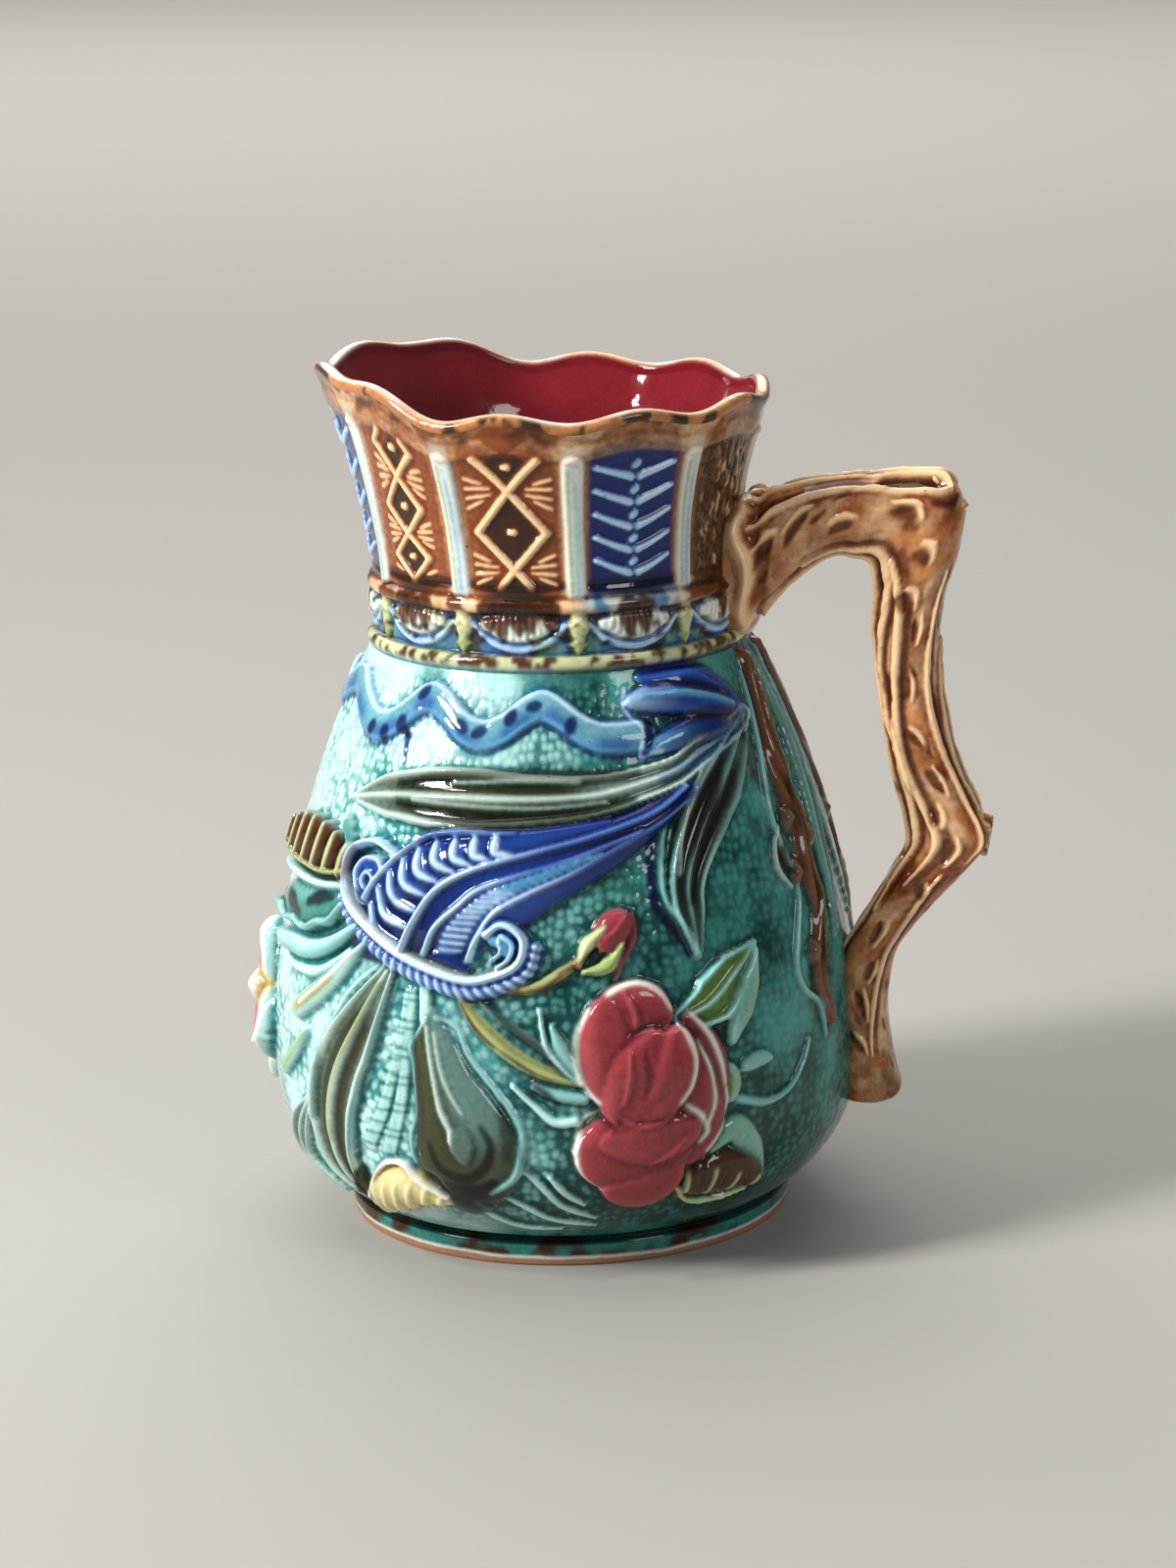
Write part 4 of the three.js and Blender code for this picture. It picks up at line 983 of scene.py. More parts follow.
def grid_piece(name, places, normals, colours, columns=None, closed=True, inside_out=False):
    rows, count = places.shape[:2]
    columns = np.arange(count) if columns is None else columns
    places, normals = places[:, columns], normals[:, columns]
    width = len(columns)
    r, c = np.meshgrid(np.arange(rows - 1), np.arange(width if closed else width - 1), indexing="ij")
    after = (c + 1) % width
    faces = np.stack([r * width + c, r * width + after, (r + 1) * width + after, (r + 1) * width + c],
                     -1).reshape(-1, 4)
    if inside_out:
        faces, normals = faces[:, ::-1], -normals
    mesh = bpy.data.meshes.new(name)
    metres = (places.reshape(-1, 3) + [axis_x, 0, 0]) * MM
    mesh.vertices.add(len(metres))
    mesh.vertices.foreach_set("co", metres.ravel())
    mesh.loops.add(faces.size)
    mesh.loops.foreach_set("vertex_index", faces.ravel())
    mesh.polygons.add(len(faces))
    mesh.polygons.foreach_set("loop_start", np.arange(0, faces.size, 4))
    mesh.update(calc_edges=True)
    mesh.validate()
    mesh.shade_smooth()
    mesh.normals_split_custom_set_from_vertices(normals.reshape(-1, 3))
    for key, values in colours.items():
        values = values[:, columns]
        if values.ndim == 3:
            flat_values = np.concatenate([values, np.ones(values.shape[:2] + (1,))], -1)
            mesh.attributes.new(key, "FLOAT_COLOR", "POINT").data.foreach_set("color", flat_values.ravel())
        else:
            mesh.attributes.new(key, "FLOAT", "POINT").data.foreach_set("value", values.ravel())
    piece = bpy.data.objects.new(name, mesh)
    bpy.context.scene.collection.objects.link(piece)
    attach(piece, "root")
    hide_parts("pitcher")
    print(name, "has", 2 * len(faces), "triangles")
    return piece


def glaze_colours(patch):
    return {"thin": patch.thin, "deep": patch.deep, "pool": pools(patch.rise) + patch.wet}


soften(belly)
places = wall_places(belly)
normals = grid_normals(places)
colours = glaze_colours(belly)
half = FINE_COLUMNS // 2
total = FINE_COLUMNS + COARSE_COLUMNS
relief_pieces = [
    grid_piece("belly_by_the_spout", places, normals, colours, np.arange(0, half + 1), False),
    grid_piece("belly_by_the_handle", places, normals, colours, np.arange(half, FINE_COLUMNS + 1), False),
    grid_piece("belly_back", places, normals, colours, np.arange(FINE_COLUMNS, total + 1) % total, False),
]

# %% [markdown]
# ## The neck
#
# Ten panels stand between pale ribs. Each panel has its own ornament in relief: lattices of stacked
# diamonds under amber glaze, chevrons under cobalt, and a mottled brown one beside the handle. Below them
# runs a frieze of fluted shells between two rounded rings.

# %% Neck
NECK_TOP = 203.4
neck_heights = np.linspace(BELLY_TOP, NECK_TOP, 150)
neck = Patch(np.linspace(-180, 180, 640, endpoint=False),
             np.column_stack([wall_radius(neck_heights), neck_heights]))
PITCH = 360 / PANELS
NECK_RINGS = [(147.6, 1.9, 1.9), (161.3, 2.0, 2.0), (164.6, 1.2, 0.5)]


def ring(height, middle, half_height, rise):
    return rise * np.sqrt(np.clip(1 - ((height - middle) / half_height) ** 2, 0, 1))


def lay_neck_ground(patch):
    x, y = patch.across_wall()
    height = patch.height[:, None]
    brush = clouds(x, y, 9, 41, 2.2)
    patch.thin, patch.deep = blend("amber", "honey", smooth(brush, 0.35, 0.7))
    speckle = smooth(clouds(x, y, 3.0, 51) + 0.06 * (148 - height), 0.44, 0.56)
    cover(patch, blend("moss", "umber", speckle),
          smooth(height, 145.6, 146.4) * (1 - smooth(height, 149, 149.8)))
    ground = blend("turquoise", "sea", smooth(brush, 0.4, 0.6))
    dark = blend(ground, "umber", 0.9 * smooth(clouds(x, y, 6, 61), 0.54, 0.64))
    cover(patch, dark, smooth(height, 149, 149.8) * (1 - smooth(height, 159, 159.8)))
    carried = [np.stack([np.interp(patch.angles, belly.angles, edge[:, k]) for k in range(3)], -1)
               for edge in (belly.thin[-1], belly.deep[-1])]
    cover(patch, carried, 1 - smooth(height, 145.6, 146.4))
    for middle, half_height, rise in NECK_RINGS:
        patch.rise += ring(height, middle, half_height, rise)
    patch.rise += 0.12 * (clouds(x, y, 3, 71) - 0.5) * smooth(height, 146, 148)


lay_neck_ground(neck)


PANEL_FOOT, PANEL_TOP = 166.0, 196.4


def diamond(patch, centre, middle, wide, tall, width=2.0):
    line(patch, [(centre, max(middle - tall, PANEL_FOOT)), (centre, middle),
                 (centre, min(middle + tall, PANEL_TOP))],
         [0.2, 1.5 * wide * np.radians(WAIST_RADIUS + 3), 0.2], "brown", 1, 0.5, True)
    corners = [(centre - wide, middle), (centre, middle + tall), (centre + wide, middle),
               (centre, middle - tall), (centre - wide, middle)]
    for (a0, h0), (a1, h1) in zip(corners, corners[1:]):
        share = [0, 1]
        for limit in (PANEL_FOOT, PANEL_TOP):
            crossing = (limit - h0) / (h1 - h0)
            beyond = (h0 - limit) * (1 if limit == PANEL_TOP else -1) > 0
            if 0 < crossing < 1:
                share[0 if beyond else 1] = crossing
            elif beyond:
                share = [0, 0]
        if share[1] - share[0] > 0.05:
            spots = [(a0 + (a1 - a0) * k, h0 + (h1 - h0) * k) for k in share]
            stroke(patch, spots, width, 1.1, "honey", straight=True)


def carve_lattice(patch, centre, middles, wide, tall):
    for middle in middles:
        diamond(patch, centre, middle, wide, tall, 2.1 if tall > 7 else 1.8)
        dot = min(middle, PANEL_TOP - 2.4)
        if dot > PANEL_FOOT + 2:
            stroke(patch, [(centre - 0.6, dot), (centre + 0.6, dot)], [1.6, 2], 1.0, "honey")
    for join in [middle + way * tall for middle in middles for way in (1, -1)]:
        for way in (1, -1):
            for k in range(4):
                spread = (k - 1.5) * (1.9 if tall > 7 else 1.5)
                inner = centre + way * wide * (0.4 + 0.22 * abs(k - 1.5))
                outer = centre + way * (wide + 2)
                if PANEL_FOOT + 1 < join + spread < PANEL_TOP - 1:
                    stroke(patch, [(inner, join + 0.7 * spread), (outer, join + 1.25 * spread)],
                           [0.6, 1.1, 0.9], 0.55, "honey")


def carve_chevrons(patch, centre):
    for k in range(5):
        height = 168.6 + 5.6 * k
        for way in (1, -1):
            stroke(patch, [(centre + way * 1.2, height), (centre + way * 6, height + 1.4),
                           (centre + way * 11.8, height + 3.6)],
                   [2.2, 1.7, 1.4], 0.95, "sky")
        stroke(patch, [(centre - 0.4, height + 2.4), (centre + 0.4, height + 3)], [1.9, 2.1], 1.0, "sky")
    line(patch, [(centre, PANEL_FOOT), (centre, 181), (centre, PANEL_TOP - 1)], 1.4, "sea", 0.5, 0.6)


def carve_bark_panel(patch, centre):
    chance = np.random.default_rng(231)
    marks = 150
    for j in range(marks):
        angle = centre + chance.uniform(-12.5, 12.5)
        height = chance.uniform(PANEL_FOOT + 0.5, PANEL_TOP - 2.5)
        lean = chance.uniform(-1.5, 1.5)
        spots = [(angle, height), (angle + lean, height + 1), (angle + 0.4 * lean, height + 2.2)]
        stroke(patch, spots, [0.5, chance.uniform(0.8, 1.5), 0.5], 0.5,
               ("umber", "honey", "bark", "umber", "brown")[j % 5])


def carve_panel(patch, k):
    centre = PITCH * (k + 0.5)
    kind = min(k, PANELS - 1 - k)
    glaze = ("bark", "cobalt", "amber", "amber", "cobalt")[kind]
    field = [(centre, PANEL_FOOT - 0.4), (centre, (PANEL_FOOT + PANEL_TOP) / 2), (centre, PANEL_TOP)]
    span = 2 * np.radians(wall_radius(np.array([168, 181, 194]))) * 13.6
    line(patch, field, span, glaze, 1, 0.8, True)
    if glaze == "amber":
        line(patch, [(centre - 14, PANEL_FOOT + 0.4), (centre, PANEL_FOOT),
                     (centre + 14, PANEL_FOOT + 0.4)], [2, 4.4, 2], "brown", 0.95, 0.8)
        if kind == 2:
            carve_lattice(patch, centre, (161, 179.4, 197.8), 10.2, 9.2)
        else:
            carve_lattice(patch, centre, (171.6, 183, 194.4), 7.2, 5.7)
    elif glaze == "cobalt":
        line(patch, [(centre - 13, PANEL_FOOT), (centre + 13, PANEL_FOOT)], 3, "ink", 0.9, 1)
        carve_chevrons(patch, centre)
    else:
        carve_bark_panel(patch, centre)


def carve_neck(patch):
    for k in range(PANELS):
        carve_panel(patch, k)
    for k in range(PANELS):
        angle = PITCH * k
        path = [(angle, 164.2), (angle, 180), (angle, 196)]
        cream_side = (lambda u, v: blend("pearl", "cream", smooth(v, -0.1, 0.5)))
        stroke(patch, path, [4.8, 4.6, 5.4], 1.05, cream_side, flat, straight=True, bias=1)
        line(patch, [(angle - 1.2, 165), (angle - 1.4, 195)], 0.8, "moss", 0.75, 0.3, True)
        line(patch, [(angle + 0.6, 165), (angle + 0.9, 180), (angle + 0.5, 192)], [1.2, 1.5, 0.8],
             ("mint", "sky")[k % 2], 0.6, 0.5)


def carve_frieze(patch):
    chance = np.random.default_rng(201)
    for k in range(PANELS):
        centre = PITCH * (k + 0.5)
        hangs = [(centre - 14.5, 157), (centre - 9, 153), (centre, 151), (centre + 9, 153),
                 (centre + 14.5, 157)]
        stroke(patch, hangs, [1.4, 2.2, 2.4, 2.2, 1.4], 1.1,
               lambda u, v: blend("sky", "sea", 0.6 * smooth(v, -0.3, 0.8)))
        stroke(patch, [(centre - 10, 156.8), (centre, 156), (centre + 10, 156.8)], [3, 6.4, 7, 6.4, 3], 1.4,
               "pearl", flat)
        for j in range(-4, 5):
            stroke(patch, [(centre + 1.9 * j, 159), (centre + 2.1 * j, 153.2 + 0.18 * j * j)],
                   [1.0, 1.3, 0.8], 0.55, "cream", lies_on=True)
        rib = PITCH * k
        stroke(patch, [(rib, 159.2), (rib + 0.4, 156.6), (rib, 153.4)], [4, 5.6, 3], 1.6, "moss")
        stroke(patch, [(rib - 2, 157), (rib, 158), (rib + 2, 157)], 1.2, 0.6, "yellow", lies_on=True)
        stroke(patch, [(rib, 153.6), (rib, 150.6)], [2, 4.6, 2], 1.2, "sap")
        for _ in range(18):
            angle, height = rib + chance.uniform(-18, 18), chance.uniform(150, 159.8)
            halfway = (angle + chance.uniform(-1.6, 1.6), height + chance.uniform(-1.4, 1.4))
            spots = [(angle, height), halfway, (angle + 2, height)]
            line(patch, spots, [0.5, chance.uniform(0.8, 2), 0.5],
                 ("umber", "umber", "moss")[chance.integers(3)], 0.85, 0.35)
        drips = (1, 3, 5, 2, 1)[k % 5]
        for j in range(drips):
            angle = centre + 4.4 * (j - (drips - 1) / 2) + chance.uniform(-1, 1)
            line(patch, [(angle, 160.6), (angle, 158), (angle + 0.4, chance.uniform(153, 156.5))],
                 [5.4, 4.2, 1.6], "brown", 0.95, 0.5)


def paint_collar_and_rim(patch):
    x, y = patch.across_wall()
    height = patch.height[:, None]
    angle = patch.angles[None, :]
    from_blue = np.abs((np.abs(angle) - 54 + 180) % 360 - 180)
    collar = smooth(height, 159.4, 160.4) * (1 - smooth(height, 163.4, 164.6))
    shares = [(blend("brown", "honey", smooth(clouds(x, y, 7, 85, 0.6), 0.4, 0.58)), collar)]
    blue = smooth(from_blue, 20, 12) * collar
    shares.append((blend("sea", "pearl", smooth(clouds(x, y, 6, 81), 0.42, 0.6)), 0.85 * blue))
    far_from_rib = smooth(np.abs(np.sin(np.radians(PANELS / 2 * angle))), 0.5, 0.95)
    pooled = far_from_rib * smooth(height, 162.4, 164) * (1 - smooth(height, 165.6, 168))
    shares.append((blend("brown", "ink", smooth(from_blue, 20, 14)), 0.95 * pooled))
    band = smooth(height, 196.4, 197.8)
    streak = clouds(x, y, 9, 91, 0.4)
    shares.append((blend("amber", "honey", smooth(streak, 0.34, 0.6)), band))
    shares.append(("brown", 0.8 * band * smooth(streak, 0.56, 0.42) * smooth(height, 198.4, 201.6)))
    shares.append(("brown", 0.5 * band * smooth(clouds(x, y, 5, 95, 0.3), 0.54, 0.66)))
    shares.append(("grey_leaf", 0.5 * band * smooth(from_blue, 17, 9) * (1 - smooth(height, 198.4, 200.4))))
    near_rib = smooth(np.abs(np.cos(np.radians(PANELS / 2 * angle))), 0.95, 1)
    shares.append(("cream", 0.6 * near_rib * smooth(height, 196, 197.5) * (1 - smooth(height, 199.4, 201))))
    for glaze, share in shares:
        cover(patch, glaze, share)
    patch.rise += 0.5 * ring(height, 198.6, 2.2, 1)


carve_neck(neck)
paint_collar_and_rim(neck)
carve_frieze(neck)
neck.rise *= (smooth(neck.height, BELLY_TOP, BELLY_TOP + 0.8)
              * (1 - smooth(neck.height, NECK_TOP - 1.5, NECK_TOP)))[:, None]
soften(neck, 0.7)
places = wall_places(neck)
relief_pieces.append(grid_piece("neck", places, grid_normals(places), glaze_colours(neck)))

# %% [markdown]
# ## Lip and inside
#
# The lip is a narrow rounded edge that waves with the rim. Glaze runs off it while it melts, so the edge
# shows pale clay colour. Inside, the jug is glazed in one smooth crimson coat.

# %% Lip and inside
LIP_OUTSIDE = float(wall_radius(NECK_TOP))
HOLLOW_MOUTH = 50.8
LIP_HEIGHT, LIP_ROUNDING, LIP_END, INSIDE_TOP = 204.5, 1.7, 203.8, 203.1
FLOOR_CURVE = 7


def inside_radius(height):
    straight = wall_radius(height) - WALL
    turned_in = straight + (HOLLOW_MOUTH - straight) * smooth(height, 196, 204.4)
    return np.where(height > 196, turned_in, straight)


def plain_patch(profile, columns):
    return Patch(np.linspace(-180, 180, columns, endpoint=False), profile)


lip_turn = np.linspace(0, math.pi, 13)
lip_middle, lip_half = (LIP_OUTSIDE + 0.5 + HOLLOW_MOUTH) / 2, (LIP_OUTSIDE + 0.5 - HOLLOW_MOUTH) / 2
lip_profile = [(LIP_OUTSIDE, NECK_TOP), (LIP_OUTSIDE + 0.4, NECK_TOP + 0.6)]
lip_profile += [(lip_middle + lip_half * math.cos(a), LIP_HEIGHT + LIP_ROUNDING * math.sin(a))
                for a in lip_turn]
lip_profile += [(float(inside_radius(np.array(z))), z) for z in (LIP_END, INSIDE_TOP)]
lip = plain_patch(lip_profile, 640)
x, y = lip.across_wall()
turned_in = np.linspace(0, 1, len(lip_profile))[:, None]
edge = clouds(x, y, 7, 101)
outer = blend("amber", "umber", smooth(edge, 0.45, 0.6))
top = blend("honey", "cream", smooth(clouds(x, y, 12, 111), 0.4, 0.7))
lip.thin, lip.deep = blend(outer, top, smooth(turned_in, 0.22, 0.42))
CRIMSON = (linear((132, 30, 40)), linear((92, 12, 22)))
cover(lip, CRIMSON, smooth(turned_in, 0.58, 0.8))
places = wall_places(lip)
relief_pieces.append(grid_piece("lip", places, grid_normals(places), glaze_colours(lip)))

inside_heights = np.linspace(INSIDE_TOP, FLOOR + FLOOR_CURVE, 60)
inside_profile = [(float(inside_radius(np.array(z))), z) for z in inside_heights]
floor_edge = inside_profile[-1][0]
inside_profile += [(floor_edge - FLOOR_CURVE * (1 - math.cos(a)),
                    FLOOR + FLOOR_CURVE - FLOOR_CURVE * math.sin(a))
                   for a in np.linspace(0.2, math.pi / 2, 7)]
inside_profile += [(radius, FLOOR) for radius in (35.0, 15.0, 0.4)]
inside = plain_patch(inside_profile, 200)
x, y = inside.across_wall()
inside.rise = -0.25 * clouds(x, y, 22, 121) * smooth(inside.height, 202, 190)[:, None]
inside.thin += CRIMSON[0]
inside.deep += CRIMSON[1]
places = wall_places(inside)
relief_pieces.append(grid_piece("inside", places, grid_normals(places), glaze_colours(inside)))

# %% [markdown]
# ## The foot
#
# The pitcher stands on a low ring. Potters wipe the glaze off this ring, or the pot would stick to the
# kiln shelf, so bare orange clay shows along the bottom, with a cream line where the glaze stops.

# %% Foot
foot_profile = [(0.4, 2.5), (20.0, 2.5), (38.0, 2.5), (45.6, 2.5), (46.6, 1.6), (47.2, 0.2), (47.8, 0.0),
                (51.0, 0.0), (54.2, 0.0)]
foot_profile += [(54.2 + 0.9 * math.sin(a), 0.9 - 0.9 * math.cos(a))
                 for a in np.linspace(0.3, math.pi / 2, 5)]
foot_profile += [(55.1 + 0.7 * s, 0.9 + 4.2 * s) for s in np.linspace(0.1, 1, 14)]
foot_profile += [(55.8 - 1.3 * (1 - math.cos(a)), 5.1 + 1.4 * math.sin(a))
                 for a in np.linspace(0.2, math.pi / 2, 6)]
foot_profile += [(54.5, 6.7), (54.6, 7.1), (55.2, 7.6), (56.2, 8.1),
                 (float(wall_radius(FOOT_HEIGHT)), FOOT_HEIGHT)]
foot = plain_patch(foot_profile, 480)
x, y = foot.across_wall()
uneven = foot.height[:, None] + 1.1 * (clouds(x, y, 14, 131) - 0.5)
glazed = smooth(uneven, 1.7, 2.1)
cream_line = glazed * (1 - smooth(uneven, 2.3, 3.1))
dark = blend("teal", "umber", smooth(clouds(x, y, 9, 141), 0.46, 0.7))
BARE = (linear((178, 130, 98)), linear((142, 94, 66)))
foot.thin, foot.deep = blend(BARE, dark, glazed)
cover(foot, "cream", cream_line)
places = wall_places(foot, neck=False)
groove = np.repeat(0.8 * ring(foot.height, 6.9, 1.4, 1)[:, None], len(foot.angles), 1)
foot_colours = {"thin": foot.thin, "deep": foot.deep, "pool": groove, "bare": 1 - glazed}
foot_piece = grid_piece("foot", places, grid_normals(places), foot_colours)

# %% [markdown]
# ## The handle
#
# The handle is modelled on a bent branch: long wavy ridges of bark, with slanting hollows between
# them, and twigs sawn off short at the bends. Its two edges are given as matching spots, as a maker would
# mark them on a side view, and the branch is swept between them.

# %% Handle
HANDLE_EDGES = [
    [(-3.8, 19.5), (-3.8, -19)], [(4.2, 21), (3.7, -15.5)], [(13.2, 22.5), (11.7, -5)],
    [(27, 24.6), (23, 3.6)], [(44.2, 25.8), (30.7, 3.6)], [(53.2, 24.8), (32.8, 1.4)],
    [(57, 17), (33.4, -4)], [(55.2, 7), (33.6, -9)], [(51.7, -5), (33.9, -15)],
    [(50.2, -17), (34.2, -21.5)], [(50.8, -28.5), (35.2, -30)],
]
LOWER_HANDLE_EDGES = [
    [(24.7, 76), (8.5, 73.5)], [(29, 64), (11.5, 61)], [(34.3, 53), (13, 53.5)], [(31.5, 47), (12, 49)],
    [(22, 36.8), (5.2, 38)], [(12.5, 25), (-2.5, 24.5)], [(9.3, 15), (-5.1, 15)], [(8.7, 4), (-5.3, 4)],
    [(10.3, -6), (-4.9, -6)], [(12, -12.5), (-4.5, -13)], [(9.5, -17), (-3, -17)],
]
upper = np.array(HANDLE_EDGES) + [WAIST_RADIUS, COLLAR_HEIGHT]
lower = np.array(LOWER_HANDLE_EDGES) + [BELLY_RADIUS, BELLY_HEIGHT]
edges = np.concatenate([upper, lower])
HANDLE_ROWS, HANDLE_COLUMNS = 430, 144
TOP_HALF_WIDTH, HALF_WIDTH, HANDLE_HALF, SQUARENESS = 13, 8.5, 10, 0.86
run = run_along(np.diff(trace(edges.mean(1)), axis=0).T)
handle_length = run[-1]
outer_edge, inner_edge = (spaced(trace(edges[:, k]), run, HANDLE_ROWS) for k in (0, 1))
share = np.linspace(0, 1, HANDLE_ROWS)[:, None]
handle_angles = np.linspace(-180, 180, HANDLE_COLUMNS, endpoint=False)
turn = np.radians(handle_angles)[None, :]
middle, reach = (outer_edge + inner_edge) / 2, (outer_edge - inner_edge) / 2
row = np.linspace(0, len(edges) - 1, HANDLE_ROWS)
half_side = (TOP_HALF_WIDTH + (HALF_WIDTH - TOP_HALF_WIDTH) * smooth(row, 0, 4))[:, None]
run_mm = share * handle_length
BARK_RADIUS = 9.5
bark = Patch(handle_angles, np.column_stack([np.full(HANDLE_ROWS, BARK_RADIUS), run_mm[:, 0]]))


def lay_bark(patch):
    finer = BELLY_RADIUS / BARK_RADIUS
    x, y = np.meshgrid(patch.angles * ROUND / 360, patch.height * finer)
    patch.thin, patch.deep = blend("amber", "honey", 0.8 * smooth(clouds(x, y, 9 * finer, 161), 0.42, 0.62))
    low_end = smooth(patch.height[:, None], handle_length - 46, handle_length - 8)
    cover(patch, "moss", 0.45 * low_end * smooth(clouds(x, y, 6 * finer, 165), 0.45, 0.6))
    patch.wet += 1.0 * (clouds(x, y, 7 * finer, 163) - 0.45) + 0.25 * low_end
    patch.rise += 1.0 * (clouds(x, y, 12 * finer, 151) - 0.5) + 0.8 * (clouds(x, y, 4.5 * finer, 155) - 0.5)


def carve_bark(patch, side):
    chance = np.random.default_rng(211)

    def at(angle, share):
        return side * angle, share * handle_length

    for angle, start, end, width in ((-154, 0.06, 0.93, 2.4), (-131, 0.12, 0.74, 3.2),
                                     (-108, 0.26, 0.7, 2.6), (-52, 0.04, 0.2, 2.2),
                                     (-44, 0.33, 0.66, 2.4), (-20, 0.03, 0.18, 1.8), (-14, 0.4, 0.6, 1.6),
                                     (-62, 0.68, 0.93, 2.2)):
        bends = [(angle + 8 * math.sin(24 * t + angle), t) for t in np.linspace(start, end, 10)]
        stroke(patch, [at(a, t) for a, t in bends], [0.8, width, 1.2 * width, width, 0.8], 1.15, "honey",
               lies_on=True)
        line(patch, [at(a + 13, t) for a, t in bends], [0.5, 1.5, 1.7, 1.5, 0.5], "brown", 0.8, 0.6)
    stroke(patch, [at(-34, 0.19), at(-31, 0.217), at(-28, 0.244)], oval(6), -1.3, "brown", lies_on=True)
    for path in ([at(-46, 0.183), at(-52, 0.212), at(-47, 0.243), at(-30, 0.252)],
                 [at(-22, 0.183), at(-13, 0.21), at(-12, 0.236), at(-26, 0.252)]):
        stroke(patch, path, [0.8, 1.9, 2, 1.2], 1.1, "honey", lies_on=True)
    line(patch, [at(-56, 0.25), at(-38, 0.263), at(-16, 0.262)], [0.8, 1.8, 1], "umber", 0.9, 0.5)
    marks = 17
    for k in range(marks):
        t, angle = 0.065 + 0.86 * k / (marks - 1) + 0.01 * math.sin(5 * k), -88 + 11 * math.sin(2.3 * k)
        lean, half_long = 5 + 7 * math.sin(1.7 * k), 0.014 + 0.005 * math.sin(3.1 * k)
        width = 2.7 + 0.8 * math.sin(2.9 * k)
        mark = [at(angle - lean, t - half_long), at(angle + 2, t), at(angle + lean, t + half_long)]
        stroke(patch, mark, oval(width), -0.5, lambda u, v: blend("amber", "brown", 0.75), lies_on=True)
        lip = [at(angle - lean + 12, t - 1.2 * half_long), at(angle + 14, t),
               at(angle + lean + 8, t + 1.3 * half_long)]
        stroke(patch, lip, [0.6, 1.8, 0.6], 0.8, "honey", lies_on=True)
    nicks = 30
    for _ in range(nicks):
        t, angle = chance.uniform(0.04, 0.95), chance.uniform(-180, -20)
        spots = [at(angle - 4, t - 0.008), at(angle, t), at(angle + 5, t + 0.008)]
        stroke(patch, spots, oval(1.7), -0.4, lambda u, v: blend("amber", "brown", 0.6), lies_on=True)


def squared(wave):
    return np.sign(wave) * np.abs(wave) ** SQUARENESS


lay_bark(bark)
for side in (1, -1):
    carve_bark(bark, side)
SAWN_ROOT = 7.0
torn = 1.4 * np.sin(3 * turn + 1) + 1.0 * np.sin(7 * turn)
root_rim = np.exp(-((run_mm - SAWN_ROOT - torn) / 1.9) ** 2)
root_dish = np.exp(-((run_mm - SAWN_ROOT - 5 - torn) / 2.4) ** 2)
on_the_sides = 0.15 + 0.85 * np.sin(turn) ** 4
bark.rise += 2.2 * root_rim * on_the_sides - 1.3 * root_dish
cover(bark, "honey", 0.9 * root_rim)
bark.wet -= 0.4 * root_rim
soften(bark, 0.7)
handle_rise = np.minimum(bark.rise - 0.6, 0.9 + 3 * (run_mm < 60))
outward, sideways = squared(np.cos(turn)), squared(np.sin(turn))
scale = 1 + handle_rise / HANDLE_HALF
places = np.empty((HANDLE_ROWS, HANDLE_COLUMNS, 3))
places[..., 0] = middle[:, :1] + reach[:, :1] * outward * scale
places[..., 2] = middle[:, 1:] + reach[:, 1:] * outward * scale
places[..., 1] = half_side * sideways * scale
closing = 5
for k in range(closing):
    pull = math.cos(math.pi / 2 * (closing - k) / (closing + 0.5))
    for row_index in (k, HANDLE_ROWS - 1 - k):
        centre = places[row_index].mean(0)
        places[row_index] = centre + (places[row_index] - centre) * pull
handle_parts = {"thin": bark.thin, "deep": bark.deep, "pool": pools(bark.rise) + bark.wet}
relief_pieces.append(grid_piece("handle", places, grid_normals(places), handle_parts, inside_out=True))
print("the handle is", round(handle_length), "mm long round its bends")

# %% [markdown]
# ## Sawn twigs
#
# Two twigs are cut off short where the handle bends. Each is a short, slightly flattened taper with the
# same bark, and it ends in a dark, dished face with growth rings.

# %% Twigs
DISH_DEPTH = 2.4
FLATNESS = 0.66


